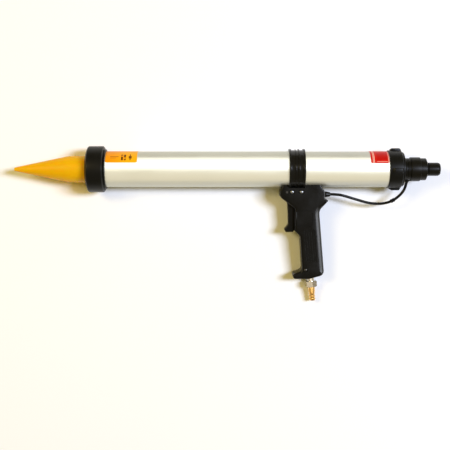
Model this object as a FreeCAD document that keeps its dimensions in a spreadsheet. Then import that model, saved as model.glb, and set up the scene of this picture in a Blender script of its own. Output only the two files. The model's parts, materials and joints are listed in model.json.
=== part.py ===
"""Air-powered caulking gun for foil packs, lying on its right side: ring and grip on the floor.

The gun is drawn in its tool frame, in millimetres: the barrel's axis is X with its front face at X = 0 and
+X to the rear, the grip points to -Y, and Z = 0 is the plane of symmetry. One placement then rolls the whole
gun about the barrel until the grip's side meets the floor.
"""

import FreeCAD, Part
import Sketcher
import math
import os
import re

SIZES = {
    # barrel: drawn tube for 600 ml foil packs
    "barrel_outer": 51,
    "barrel_wall": 1.5,
    "barrel_length": 435,
    # threaded collar on the barrel's front end, and the ring that screws on it
    "collar_wall": 2.2,
    "collar_length": 19.5,
    "collar_bevel": 0.8,
    "ring_outer": 66,
    "ring_front": 11,
    "ring_crown": 4.5,
    "ring_skirt": 17,
    "ring_bevel": 3,
    "ring_round": 4,
    # nozzle: flanged cone
    "nozzle_flange_outer": 52,
    "nozzle_flange": 5.5,
    "nozzle_root_outer": 38,
    "nozzle_shoulder": 34,
    "nozzle_shoulder_round": 60,
    "nozzle_tip_outer": 5,
    "nozzle_tip_bore": 3,
    "nozzle_tip_land": 6,
    "nozzle_length": 112.3,
    "nozzle_wall": 1.6,
    # rear cap with its four lugs
    "cap_outer": 54,
    "cap_overlap": 14.5,
    "cap_wall": 4.5,
    "cap_shoulder_outer": 48.8,
    "cap_shoulder": 3.5,
    "cap_spigot": 10,
    "cap_spigot_wall": 4,
    "cap_nose": 1.5,
    "lug_reach": 30,
    "lug_width": 7,
    "lug_length": 16,
    "lug_count": 4,
    "lug_root": 0.5,
    "seal_section": 2,
    # piston
    "piston_length": 18,
    "piston_skin": 3,
    "piston_clearance": 0.5,
    "piston_groove": 3,
    "piston_groove_width": 6,
    "piston_rest_gap": 2,
    "seal_land": 1.6,
    # band clamp that carries the handle
    "clamp_x": 291,
    "clamp_width": 23,
    "clamp_thickness": 3.5,
    "clamp_web": 2.3,
    "clamp_rib": 3.2,
    "clamp_split": 4,
    "ear_thickness": 3.5,
    "ear_width": 20,
    "ear_drop": 37.8,
    "ear_root": 1,
    "clamp_screw_drop": 31.8,
    "clamp_screw_spacing": 13.5,
    "screw_diameter": 3,
    "screw_head": 5.5,
    "screw_head_height": 2,
    "screw_boss": 8,
    "clamp_boss": 6,
    "pivot_boss": 6.4,
    "nut_across_flats": 5.5,
    "nut_height": 2.4,
    # handle shells: head under the barrel, raked grip, foot with a toe
    "handle_width": 28,
    "shell_wall": 2.6,
    "handle_round": 3,
    "head_front": 24,
    "head_rear": 40,
    "head_drop": 39,
    "head_bevel": 6,
    "nose_drop": 29,
    "guard_front": 2.6,
    "guard_top": 55,
    "guard_drop": 88,
    "grip_top": 59,
    "grip_back": 32.8,
    "grip_depth": 30,
    "grip_rake": 5,
    "waist_drop": 95,
    "instep_rise": 20.2,
    "foot_drop": 159.2,
    "sole_length": 17,
    "toe_rise": 10.2,
    "toe_reach": 15,
    "heel_rise": 6.7,
    "tang_reach": 45.2,
    "tang_drop": 43.8,
    "tang_top": 41,
    "toe_rake": 1,
    "nose_round": 12,
    "chin_round": 8,
    "throat_round": 4,
    "guard_round": 4,
    "waist_round": 6,
    "instep_round": 7,
    "toe_round": 4,
    "sole_round": 5,
    "heel_round": 8,
    "web_round": 12,
    "tang_round": 1.2,
    "spur_round": 0.8,
    "rear_round": 3,
    "grip_screw_x": 13.5,
    "grip_screw_rise": 15,
    # trigger
    "pivot_x": 14,
    "pivot_drop": 31.8,
    "pin_diameter": 3,
    "trigger_eye": 6.8,
    "trigger_width": 12,
    "trigger_front": 9,
    "trigger_depth": 8,
    "trigger_top": 49,
    "trigger_drop": 90,
    "hook_reach": 7.2,
    "hook_height": 5.5,
    "trigger_side_gap": 0.5,
    "trigger_sweep": 2.5,
    "trigger_heel": 2,
    "hook_slope": 1.2,
    "neck_front": 3,
    "neck_back": 2.8,
    "brow_front": 2.4,
    "brow_drop": 40.5,
    "face_drop": 52.5,
    "nape_drop": 39.3,
    "brow_round": 8,
    "face_round": 10,
    "hook_throat_round": 5,
    "hook_round": 1,
    "hook_lip_round": 2,
    "trigger_heel_round": 4,
    "trigger_back_round": 6,
    "trigger_shoulder_round": 4,
    "nape_round": 3,
    # valve behind the trigger
    "valve_drop": 69.5,
    "valve_front": 6.5,
    "valve_length": 20,
    "valve_outer": 16,
    "valve_chamber": 11,
    "valve_seat": 13,
    "valve_throat": 6,
    "valve_neck": 2,
    "stem_diameter": 4,
    "stem_gap": 0.3,
    "stem_bevel": 0.6,
    "poppet_outer": 9,
    "poppet_height": 2,
    "washer_height": 0.8,
    "plug_flange": 2.5,
    "plug_spigot": 3,
    "plug_gap": 0.5,
    "valve_rest_inset": 2,
    "supply_gap": 0.6,
    "valve_wire": 0.6,
    "valve_spring_outer": 6.4,
    "valve_spring_turns": 5,
    # pipes and air inlet
    "pipe_outer": 5,
    "pipe_bore": 3,
    "feed_bend": 12,
    "feed_straight": 18,
    "delivery_bend": 6,
    "delivery_rise": 8.4,
    "delivery_run": 7.8,
    "pipe_socket": 2,
    "inlet_x": 22.2,
    "inlet_rise": 2.2,
    "inlet_stub": 6,
    "inlet_stub_outer": 10,
    "inlet_seat": 0.9,
    "inlet_collar": 5,
    "inlet_collar_outer": 10,
    "inlet_hex": 15,
    "inlet_hex_length": 8.6,
    "inlet_hex_bevel": 1,
    "inlet_bore": 4,
    "nipple_outer": 9.5,
    "nipple_waist": 7.4,
    "nipple_length": 20.3,
    "nipple_grip": 8,
    "nipple_stub": 5.5,
    "nipple_stub_outer": 7,
    "nipple_stub_gap": 0.5,
    "barb_count": 3,
    "barb_waist": 0.3,
    # hose line
    "hose_drop": 36,
    "hose_outer": 4,
    "hose_bore": 2.5,
    "fitting_outer": 8.4,
    "fitting_tip": 5.8,
    "fitting_length": 8.8,
    "fitting_root": 5,
    "fitting_cup": 3,
    "port_x": 4.8,
    "port_drop": 18,
    "port_outer": 6.2,
    "port_length": 8,
    "port_lean": 78,
    "port_bevel": 1,
    "port_lip": 0.4,
    "sleeve_outer": 5.4,
    "sleeve_length": 6,
    "sleeve_place": 0.705,
    # pressure regulator
    "regulator_outer": 31.6,
    "regulator_body_length": 17,
    "regulator_length": 31,
    "regulator_cone": 3,
    "regulator_nose_outer": 14,
    "regulator_nose": 8,
    "regulator_wall": 4,
    "clamp_ring_outer": 34.4,
    "clamp_ring_front": 8.6,
    "clamp_ring_length": 13.9,
    "clamp_ring_round": 1.2,
    "diaphragm_outer": 25,
    "diaphragm_thickness": 1.2,
    "regulator_wire": 1.6,
    "regulator_spring_turns": 4,
    "regulator_spring_outer": 15,
    "seat_outer": 17,
    "seat_height": 3,
    "seat_gap": 0.5,
    "bonnet_roof": 1,
    "knob_outer": 19,
    "knob_length": 17,
    "knob_round": 3,
    "knob_gap": 0.5,
    "adjuster_diameter": 6,
    "adjuster_tail": 3,
    "lift_stem": 3,
    "lift_head": 7,
    "lift_head_height": 2.5,
    "lift_chamber": 9,
    "lift_way": 4,
    "lift_seat": 6,
    "lift_spring_turns": 5,
    "cover_depth": 3,
    "stop_inset": 0.3,
    "stop_seat": 1.5,
    # labels on top of the barrel
    "label_thickness": 0.2,
    "front_label_x": 20,
    "front_label_length": 45,
    "front_label_wrap": 127,
    "rear_label_setback": 41,
    "rear_label_length": 26,
    "rear_label_wrap": 134,
    # fits
    "snug": 0.05,
    "running": 0.08,
    "slack": 0.3,
    # how far a cut runs past the face it starts from
    "overrun": 1,
}

# Places and radii that follow from the sizes.
FORMULAS = {
    "barrel_r": "barrel_outer / 2",
    "bore_r": "barrel_r - barrel_wall",
    "collar_r": "barrel_r + collar_wall",
    "ring_r": "ring_outer / 2",
    "ring_thread_r": "collar_r + running",
    "mouth_r": "nozzle_root_outer / 2 + slack",
    "flange_r": "nozzle_flange_outer / 2",
    "cap_front": "barrel_length - cap_overlap",
    "cap_back": "barrel_length + cap_wall",
    "regulator_x": "cap_back + cap_shoulder + cap_nose",
    "spigot_front": "barrel_length - cap_spigot",
    "seal_r": "bore_r - snug - seal_section / 2",
    "piston_back": "spigot_front - piston_rest_gap",
    "piston_front": "piston_back - piston_length",
    "piston_r": "bore_r - piston_clearance",
    "half_width": "handle_width / 2",
    "cavity_depth": "half_width - shell_wall",
    "saddle_r": "barrel_r + snug",
    "clamp_r": "barrel_r + clamp_thickness",
    "clamp_inner_r": "barrel_r + snug",
    "screw_r": "screw_diameter / 2",
    "pivot": "clamp_x - pivot_x",
    "blade": "clamp_x - trigger_front",
    "guard": "clamp_x - guard_front",
    "rake": "tan(grip_rake)",
    "instep_drop": "foot_drop - instep_rise",
    "toe_drop": "foot_drop - toe_rise",
    "heel_drop": "foot_drop - heel_rise",
    "grip_screw_drop": "foot_drop - grip_screw_rise",
    "inlet_drop": "foot_drop - inlet_rise",
    "valve_x": "clamp_x + valve_front",
    "valve_back": "valve_x + valve_length",
    "valve_r": "valve_outer / 2",
    "seat_x": "valve_x + valve_seat - valve_throat",
    "stem_r": "stem_diameter / 2",
    "inlet_turn": "grip_rake - 90",
    "fitting_x": "clamp_x + head_rear",
    "fitting_end": "fitting_x + fitting_length",
    "regulator_r": "regulator_outer / 2",
    "joint_x": "regulator_x + regulator_body_length",
    "bonnet_end": "regulator_x + regulator_length + regulator_cone",
    "knob_front": "bonnet_end + knob_gap",
    "rear_label_x": "barrel_length - rear_label_setback",
}

# Where the hose goes into the regulator.
PORT_MOUTH = ("regulator_x + port_x", "-port_drop", "0")

# The hose's route from the handle to the regulator, in the tool frame: X, Y and how far it hangs.
HOSE_ROUTE = [
    (339.8, -36.0, 0.0),
    (351.8, -36.0, 0.0),
    (365.6, -39.9, -0.9),
    (382.0, -45.0, -2.0),
    (398.6, -49.6, -2.6),
    (414.8, -50.0, -2.4),
    (427.0, -47.0, -1.7),
    (436.4, -41.0, -0.9),
    (443.8, -33.2, -0.3),
    (447.6, -26.0, 0.0),
    (449.3, -18.0, 0.0),
]

# Pieces that hang free and so stay out of the gun's own length and width.
CORD_PIECES = ("air_hose", "hose_sleeve")

DOC = FreeCAD.newDocument("CaulkingGun")
SHEET = DOC.addObject("Spreadsheet::Sheet", "Sizes")
PARTS = {}


def fill_sheet():
    """Write every size into its own cell and name the cell."""
    for row, (name, size) in enumerate(SIZES.items(), start=1):
        SHEET.set(f"A{row}", name)
        SHEET.set(f"B{row}", str(size))
        SHEET.setAlias(f"B{row}", name)
    DOC.recompute()


def formula(text):
    """Spell out an expression of size names as one of the sheet's cells."""

    def cell(match):
        name = match.group(0)
        if name in FORMULAS:
            return f"({formula(FORMULAS[name])})"
        return f"Sizes.{name}" if name in SIZES else name

    return re.sub(r"[a-z][a-z_0-9]*", cell, str(text))


def value(text):
    """The number that an expression of size names stands for."""
    return float(SHEET.evalExpression(formula(text)))


# ---------------------------------------------------------------- drawing helpers


def new_body(name):
    body = DOC.addObject("PartDesign::Body", name)
    body.Label = name
    body.AllowCompound = True
    PARTS[name] = body
    return body


def new_sketch(body, name, plane="XY_Plane", at=("0", "0", "0"), turn="0"):
    """An empty sketch on one of the body's own planes, shifted and turned in that plane."""
    sketch = body.newObject("Sketcher::SketchObject", name)
    support = next(f for f in body.Origin.OriginFeatures if f.Role == plane)
    sketch.AttachmentSupport = [(support, "")]
    sketch.MapMode = "FlatFace"
    for axis, shift in zip("xyz", at):
        sketch.setExpression(f".AttachmentOffset.Base.{axis}", formula(shift))
    sketch.setExpression(".AttachmentOffset.Rotation.Angle", formula(turn))
    return sketch


def polygon(sketch, points):
    """A closed outline through points whose coordinates are expressions."""
    corners = [FreeCAD.Vector(value(x), value(y), 0) for x, y in points]
    first = sketch.GeometryCount
    for start, end in zip(corners, corners[1:] + corners[:1]):
        sketch.addGeometry(Part.LineSegment(start, end), False)
    for number, (x, y) in enumerate(points):
        line = first + number
        following = first + (number + 1) % len(points)
        sketch.addConstraint(Sketcher.Constraint("Coincident", line, 2, following, 1))
        for kind, text in (("DistanceX", x), ("DistanceY", y)):
            size = value(text)
            index = sketch.addConstraint(Sketcher.Constraint(kind, -1, 1, line, 1, size))
            sketch.setExpression(f"Constraints[{index}]", formula(text))
    return sketch


def circle(sketch, x, y, diameter):
    """A circle whose centre and diameter are expressions."""
    centre = FreeCAD.Vector(value(x), value(y), 0)
    ring = Part.Circle(centre, FreeCAD.Vector(0, 0, 1), value(diameter) / 2)
    line = sketch.addGeometry(ring, False)
    for kind, text in (("DistanceX", x), ("DistanceY", y)):
        index = sketch.addConstraint(Sketcher.Constraint(kind, -1, 1, line, 3, value(text)))
        sketch.setExpression(f"Constraints[{index}]", formula(text))
    index = sketch.addConstraint(Sketcher.Constraint("Diameter", line, value(diameter)))
    sketch.setExpression(f"Constraints[{index}]", formula(diameter))
    return sketch


def box(x_low, x_high, y_low, y_high):
    return [(x_low, y_low), (x_high, y_low), (x_high, y_high), (x_low, y_high)]


def hexagon(x, y, across_flats):
    """The six corners of a hexagon about (x, y)."""
    reach = f"{across_flats} / sqrt(3)"
    corners = [30 + 60 * number for number in range(6)]
    return [(f"{x} + {reach} * cos({a})", f"{y} + {reach} * sin({a})") for a in corners]


def changed(body, feature, cut):
    """Recompute, and make sure that the feature added or took material."""
    before = body.Tip.BaseFeature.Shape.Volume if body.Tip.BaseFeature else 0.0
    DOC.recompute()
    after = feature.Shape.Volume
    if (after >= before) if cut else (after <= before):
        raise RuntimeError(f"{feature.Name} changes nothing: {before:.3f} to {after:.3f}")
    return feature


def turn(body, name, points, cut=False, plane="XY_Plane", at=("0", "0", "0"), lean="0",
         axis="H_Axis", angle="360", halved=False):
    """Revolve an outline about an axis of its sketch, or cut it away."""
    sketch = polygon(new_sketch(body, name + "Sketch", plane, at, lean), points)
    kind = "PartDesign::Groove" if cut else "PartDesign::Revolution"
    feature = body.newObject(kind, name)
    feature.Profile = sketch
    feature.ReferenceAxis = (sketch, [axis])
    feature.setExpression("Angle", formula(angle))
    feature.Midplane = halved
    return changed(body, feature, cut)


def extrude(body, name, sketch, length, cut=False, back=False, both=False):
    """Pad or pocket a sketch, both measured along the sketch's own normal."""
    feature = body.newObject("PartDesign::Pocket" if cut else "PartDesign::Pad", name)
    feature.Profile = sketch
    feature.setExpression("Length", formula(length))
    feature.Midplane = both
    feature.Reversed = back != cut
    return changed(body, feature, cut)


def round_edges(body, name, radius, chosen, chamfer=False):
    """Round or bevel the edges of the body's latest feature that are chosen."""
    base = body.Tip
    edges = [f"Edge{i}" for i, edge in enumerate(base.Shape.Edges, start=1) if chosen(edge)]
    feature = body.newObject("PartDesign::Chamfer" if chamfer else "PartDesign::Fillet", name)
    feature.Base = (base, edges)
    feature.setExpression("Size" if chamfer else "Radius", formula(radius))
    DOC.recompute()
    return feature


def repeat(body, name, feature, axis, length, count):
    """Repeat a feature evenly along an axis of its own sketch."""
    pattern = body.newObject("PartDesign::LinearPattern", name)
    pattern.Originals = [feature]
    pattern.Direction = (feature.Profile[0], [axis])
    pattern.setExpression("Length", formula(length))
    pattern.Occurrences = count
    body.Tip = pattern
    DOC.recompute()
    return pattern


def stands_at(edge, x, y):
    """Whether a straight edge along Z passes through (x, y)."""
    start, end = edge.Vertexes[0].Point, edge.Vertexes[-1].Point
    upright = (end - start).Length > 1e-6 and abs(abs((end - start).normalize().z) - 1) < 1e-6
    return upright and math.hypot(start.x - value(x), start.y - value(y)) < 1e-4


def rim_at(edge, x, radius):
    """Whether an edge is a full circle about the barrel's axis at x with this radius."""
    if not isinstance(edge.Curve, Part.Circle) or not edge.isClosed():
        return False
    near = abs(edge.Curve.Center.x - value(x)) < 1e-4
    return near and abs(edge.Curve.Radius - value(radius)) < 1e-4


def seal_ring(name, x, y, centre_radius, section):
    """An O-ring about a line along X."""
    ring = DOC.addObject("Part::Torus", name)
    ring.Label = name
    ring.setExpression("Radius1", formula(centre_radius))
    ring.setExpression("Radius2", formula(f"{section} / 2"))
    PARTS[name] = ring
    ring.Placement = FreeCAD.Placement(
        FreeCAD.Vector(value(x), value(y), 0), FreeCAD.Rotation(FreeCAD.Vector(0, 1, 0), 90)
    )
    return ring


def coil_spring(name, x, y, length, outer, wire, turns):
    """A compression spring along X that starts at x and fills the length."""
    body = new_body(name)
    sketch = new_sketch(body, name + "Wire", at=("0", y, "0"))
    circle(sketch, f"{x} + {wire} / 2", f"({outer} - {wire}) / 2", wire)
    spring = body.newObject("PartDesign::AdditiveHelix", name + "Coil")
    spring.Profile = sketch
    spring.ReferenceAxis = (sketch, ["H_Axis"])
    spring.Mode = 0
    spring.setExpression("Pitch", formula(f"({length} - {wire}) / {turns}"))
    spring.setExpression("Height", formula(f"{length} - {wire}"))
    DOC.recompute()
    return body


# ---------------------------------------------------------------- routes of pipes and hose


def smooth_route(points, bend=None):
    """Straight runs joined by tangent arcs, each arc as large as its runs allow or as wide as bend."""
    corners = [FreeCAD.Vector(*point) for point in points]
    edges, radii = [], []
    start = corners[0]
    for before, corner, after in zip(corners, corners[1:], corners[2:]):
        back, ahead = before - corner, after - corner
        half_turn = (math.pi - back.getAngle(ahead)) / 2
        radius = bend or 0.45 * min(back.Length, ahead.Length) / math.tan(half_turn)
        reach = radius * math.tan(half_turn)
        entry = corner + back.normalize() * reach
        leave = corner + ahead.normalize() * reach
        inward = (back + ahead).normalize()
        middle = corner + inward * (radius / math.cos(half_turn) - radius)
        edges += [Part.LineSegment(start, entry).toShape(), Part.Arc(entry, middle, leave).toShape()]
        radii.append(radius)
        start = leave
    edges.append(Part.LineSegment(start, corners[-1]).toShape())
    return Part.Wire(edges), radii


def sweep(name, wire, diameter):
    """A round bar along a wire."""
    spine = DOC.addObject("Part::Feature", name + "Route")
    spine.Shape = wire
    section = DOC.addObject("Part::Circle", name + "Section")
    section.setExpression("Radius", formula(f"{diameter} / 2"))
    first = wire.Edges[0]
    along = first.tangentAt(first.FirstParameter)
    section.Placement = FreeCAD.Placement(
        first.valueAt(first.FirstParameter), FreeCAD.Rotation(FreeCAD.Vector(0, 0, 1), along)
    )
    bar = DOC.addObject("Part::Sweep", name)
    bar.Sections = [section]
    bar.Spine = (spine, [f"Edge{number + 1}" for number in range(len(wire.Edges))])
    bar.Solid = True
    DOC.recompute()
    return bar


def tube(name, points, outer, bore, bend=None):
    """A pipe along a route; its volume is compared with its section times its length."""
    wire, radii = smooth_route(points, bend)
    pipe = DOC.addObject("Part::Cut", name)
    pipe.Base = sweep(name + "Outer", wire, outer)
    pipe.Tool = sweep(name + "Bore", wire, bore)
    pipe.Label = name
    DOC.recompute()
    section = math.pi / 4 * (value(outer) ** 2 - value(bore) ** 2)
    expected = section * wire.Length
    print(f"{name}: length {wire.Length:.1f}, radii", [round(radius, 1) for radius in radii])
    if abs(pipe.Shape.Volume / expected - 1) > 0.01:
        raise RuntimeError(f"{name} holds {pipe.Shape.Volume:.1f}, not {expected:.1f}")
    PARTS[name] = pipe
    return wire


def stretch(wire, start, length):
    """The part of a wire between two distances along it."""
    edges, passed = [], 0.0
    for edge in wire.Edges:
        low = max(start - passed, 0.0)
        high = min(start + length - passed, edge.Length)
        if high > low + 1e-6:
            first = edge.getParameterByLength(low)
            last = edge.getParameterByLength(high)
            edges.append(edge.Curve.toShape(first, last))
        passed += edge.Length
    return Part.Wire(edges)


# ---------------------------------------------------------------- barrel, ring, nozzle


def make_barrel():
    body = new_body("barrel_tube")
    turn(body, "Tube", box("0", "barrel_length", "bore_r", "barrel_r"))

    body = new_body("barrel_collar")
    inner = "barrel_r + snug"
    turn(body, "Collar", [
        ("0", inner),
        ("0", "collar_r - collar_bevel"),
        ("collar_bevel", "collar_r"),
        ("collar_length - collar_bevel", "collar_r"),
        ("collar_length", "collar_r - collar_bevel"),
        ("collar_length", inner),
    ])


def make_front_ring():
    body = new_body("front_ring")
    turn(body, "Ring", [
        ("-ring_front", "mouth_r"),
        ("ring_crown - ring_front", "ring_r"),
        ("ring_skirt - ring_bevel", "ring_r"),
        ("ring_skirt", "ring_r - ring_bevel"),
        ("ring_skirt", "ring_thread_r"),
        ("-snug", "ring_thread_r"),
        ("-snug", "flange_r + slack"),
        ("-nozzle_flange - snug", "flange_r + slack"),
        ("-nozzle_flange - snug", "mouth_r"),
    ])
    crown = lambda edge: rim_at(edge, "ring_crown - ring_front", "ring_r")
    round_edges(body, "Crown", "ring_round", crown)


def make_nozzle():
    root = "nozzle_root_outer / 2"
    inner = f"{root} - nozzle_wall"
    body = new_body("nozzle")
    turn(body, "Cone", [
        ("0", inner),
        ("0", "flange_r"),
        ("-nozzle_flange", "flange_r"),
        ("-nozzle_flange", root),
        ("-nozzle_shoulder", root),
        ("-nozzle_length", "nozzle_tip_outer / 2"),
        ("-nozzle_length", "nozzle_tip_bore / 2"),
        ("nozzle_tip_land - nozzle_length", "nozzle_tip_bore / 2"),
        ("-nozzle_shoulder", inner),
    ])
    outside = lambda edge: rim_at(edge, "-nozzle_shoulder", root)
    round_edges(body, "Shoulder", "nozzle_shoulder_round", outside)
    inside = lambda edge: rim_at(edge, "-nozzle_shoulder", inner)
    round_edges(body, "ShoulderInside", "nozzle_shoulder_round - nozzle_wall", inside)


# ---------------------------------------------------------------- rear cap and piston


def make_rear_cap():
    sleeve_r = "barrel_r + snug"
    spigot_r = "bore_r - snug"
    spigot_bore = f"{spigot_r} - cap_spigot_wall"
    nose_r = "regulator_nose_outer / 2 + snug"
    groove = "(spigot_front + barrel_length) / 2"
    groove_half = "(seal_section / 2 + snug)"
    groove_r = "seal_r - seal_section / 2 - snug"
    floor = "barrel_length + snug"
    body = new_body("rear_cap")
    turn(body, "Cap", [
        ("cap_front", sleeve_r),
        ("cap_front", "cap_outer / 2"),
        ("cap_back", "cap_outer / 2"),
        ("cap_back", "cap_shoulder_outer / 2"),
        ("cap_back + cap_shoulder", "cap_shoulder_outer / 2"),
        ("regulator_x", "regulator_r"),
        ("regulator_x", nose_r),
        (f"{floor} - snug", nose_r),
        (f"{floor} - snug", spigot_bore),
        ("spigot_front", spigot_bore),
        ("spigot_front", spigot_r),
        (f"{groove} - {groove_half}", spigot_r),
        (f"{groove} - {groove_half}", groove_r),
        (f"{groove} + {groove_half}", groove_r),
        (f"{groove} + {groove_half}", spigot_r),
        (floor, spigot_r),
        (floor, sleeve_r),
    ])
    sketch = new_sketch(body, "LugSketch", "YZ_Plane", ("0", "0", "cap_back - lug_length"))
    polygon(sketch, box("cap_outer / 2 - lug_root", "lug_reach", "-lug_width / 2", "lug_width / 2"))
    lug = extrude(body, "Lug", sketch, "lug_length")
    pattern = body.newObject("PartDesign::PolarPattern", "Lugs")
    pattern.Originals = [lug]
    pattern.Axis = (sketch, ["N_Axis"])
    pattern.Angle = 360
    pattern.setExpression("Occurrences", formula("lug_count"))
    body.Tip = pattern
    DOC.recompute()
    seal_ring("rear_cap_seal", groove, "0", "seal_r", "seal_section")


def make_piston():
    groove = "(piston_front + piston_back) / 2"
    groove_r = "piston_r - piston_groove"
    front, back = f"{groove} - piston_groove_width / 2", f"{groove} + piston_groove_width / 2"
    body = new_body("piston")
    turn(body, "Cup", [
        ("piston_front", "0"),
        ("piston_front", "piston_r - piston_skin"),
        ("piston_front + piston_skin", "piston_r"),
        (front, "piston_r"),
        (front, groove_r),
        (back, groove_r),
        (back, "piston_r"),
        ("piston_back", "piston_r"),
        ("piston_back", "piston_r - piston_skin"),
        (back, f"{groove_r} - piston_skin"),
        ("piston_front + piston_skin", f"{groove_r} - piston_skin"),
        ("piston_front + piston_skin", "0"),
    ])
    body = new_body("piston_seal")
    turn(body, "Lips", [
        (f"{front} + snug", f"{groove_r} + snug"),
        (f"{front} + snug", "bore_r - running"),
        (f"{groove} - seal_land / 2", "piston_r"),
        (f"{groove} + seal_land / 2", "piston_r"),
        (f"{back} - snug", "bore_r - running"),
        (f"{back} - snug", f"{groove_r} + snug"),
    ])


# ---------------------------------------------------------------- band clamp


def make_clamp():
    left, right = "clamp_x - clamp_width / 2", "clamp_x + clamp_width / 2"
    web = "barrel_r + clamp_web"
    middle = "clamp_x + clamp_rib / 2"
    body = new_body("clamp_band")
    turn(body, "Band", [
        (left, "clamp_inner_r"),
        (left, "clamp_r"),
        (f"{left} + clamp_rib", "clamp_r"),
        (f"{left} + clamp_rib", web),
        (middle, web),
        (middle, "clamp_r"),
        (f"{middle} + clamp_rib / 2", "clamp_r"),
        (f"{middle} + clamp_rib / 2", web),
        (f"{right} - clamp_rib", web),
        (f"{right} - clamp_rib", "clamp_r"),
        (right, "clamp_r"),
        (right, "clamp_inner_r"),
    ])
    sketch = new_sketch(body, "EarSketch")
    ear = box("clamp_x - ear_width / 2", "clamp_x + ear_width / 2", "-ear_drop", "-barrel_r - ear_root")
    polygon(sketch, ear)
    extrude(body, "Ears", sketch, "clamp_split + 2 * ear_thickness", both=True)
    sketch = new_sketch(body, "SplitSketch")
    split = box(f"{left} - overrun", f"{right} + overrun", "-ear_drop - overrun", "-bore_r / 2")
    polygon(sketch, split)
    extrude(body, "Split", sketch, "clamp_split", cut=True, both=True)
    for number, side in enumerate((-1, 1)):
        sketch = new_sketch(body, f"ScrewHoleSketch{number}")
        x = f"clamp_x + {side} * clamp_screw_spacing / 2"
        circle(sketch, x, "-clamp_screw_drop", "screw_diameter + 2 * running")
        extrude(body, f"ScrewHole{number}", sketch, "handle_width", cut=True, both=True)

    first = "clamp_x - clamp_screw_spacing / 2"
    make_screw("clamp_screws", first, "clamp_screw_drop", "handle_width - nut_height")
    repeat(PARTS["clamp_screws"], "Pair", PARTS["clamp_screws"].Tip, "H_Axis", "clamp_screw_spacing", 2)

    body = new_body("clamp_nuts")
    sketch = new_sketch(body, "NutSketch", at=("0", "0", "-half_width"))
    polygon(sketch, hexagon(first, "-clamp_screw_drop", "nut_across_flats"))
    circle(sketch, first, "-clamp_screw_drop", "screw_diameter + 2 * snug")
    nut = extrude(body, "Nut", sketch, "nut_height")
    repeat(body, "Pair", nut, "H_Axis", "clamp_screw_spacing", 2)


def make_screw(name, x, drop, length):
    """A cheese-head screw along Z whose head lies in the left shell's side."""
    top = "half_width"
    under = f"{top} - screw_head_height"
    body = new_body(name)
    turn(body, "Screw", [
        ("0", top),
        ("screw_head / 2", top),
        ("screw_head / 2", under),
        ("screw_r", under),
        ("screw_r", f"{top} - ({length})"),
        ("0", f"{top} - ({length})"),
    ], plane="XZ_Plane", at=(x, "0", drop), axis="V_Axis")


# ---------------------------------------------------------------- handle


def back_of_grip(drop):
    return f"clamp_x + grip_back + ({drop} - grip_top) * rake"


def shell_corners():
    """The shell's outline, with the round that each corner gets."""
    front = "clamp_x - head_front"
    rear = "clamp_x + head_rear"
    hidden_top = "-barrel_r / 2"
    instep = f"{back_of_grip('instep_drop')} - grip_depth"
    return [
        (f"{front} + head_bevel", hidden_top, None),
        (front, "-nose_drop", "nose_round"),
        (front, "-head_drop", "chin_round"),
        ("guard", "-guard_top", "throat_round"),
        ("guard", "-guard_drop", "guard_round"),
        (f"{back_of_grip('waist_drop')} - grip_depth", "-waist_drop", "waist_round"),
        (instep, "-instep_drop", "instep_round"),
        (f"{instep} - toe_reach", "-toe_drop", "toe_round"),
        (f"{instep} - toe_reach + toe_rake", "-foot_drop", "sole_round"),
        ("clamp_x + sole_length", "-foot_drop", None),
        (back_of_grip("heel_drop"), "-heel_drop", "heel_round"),
        (back_of_grip("grip_top"), "-grip_top", "web_round"),
        ("clamp_x + tang_reach", "-tang_drop", "tang_round"),
        (rear, "-tang_top", "spur_round"),
        (rear, "-nose_drop", "rear_round"),
        (f"{rear} - head_bevel", hidden_top, None),
    ]


def cavity_corners():
    """The hollow inside the shell, one wall in from its outline."""
    front = "clamp_x - head_front + shell_wall"
    rear = "clamp_x + head_rear - shell_wall"
    low_front = f"{back_of_grip('waist_drop')} - grip_depth + shell_wall"
    instep = f"{back_of_grip('instep_drop')} - grip_depth + shell_wall"
    return [
        (f"{front} + head_bevel", "0"),
        (front, "-nose_drop"),
        (front, "shell_wall - head_drop"),
        ("guard + shell_wall", "1.5 * shell_wall - guard_top"),
        ("guard + shell_wall", "shell_wall - guard_drop"),
        (low_front, "-waist_drop"),
        (instep, "-instep_drop"),
        (instep, "2 * shell_wall - foot_drop"),
        ("clamp_x + sole_length", "2 * shell_wall - foot_drop"),
        (f"{back_of_grip('heel_drop')} - shell_wall", "2 * shell_wall - heel_drop"),
        (f"{back_of_grip('grip_top')} - shell_wall", "-grip_top"),
        (rear, "-tang_drop"),
        (rear, "-nose_drop"),
        (f"{rear} - head_bevel", "0"),
    ]


def boss(body, name, x, drop, diameter, low):
    """A round post on the shell's inner side, from low up to the wall."""
    side = body_side(body)
    sketch = new_sketch(body, name + "Sketch", at=("0", "0", f"{side} * ({low})"))
    circle(sketch, x, f"-{drop}", diameter)
    extrude(body, name, sketch, f"cavity_depth - ({low}) + shell_wall / 2", back=side < 0)


def body_side(body):
    return 1 if body.Name == "handle_left" else -1


def drill(body, name, x, drop, diameter, low="0", high="half_width + overrun"):
    """A round hole along Z through the shell, between two distances from the middle plane."""
    side = body_side(body)
    sketch = new_sketch(body, name + "Sketch", at=("0", "0", f"{side} * ({low})"))
    circle(sketch, x, f"-{drop}", diameter)
    extrude(body, name, sketch, f"{high} - ({low})", cut=True, back=side < 0)


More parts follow.
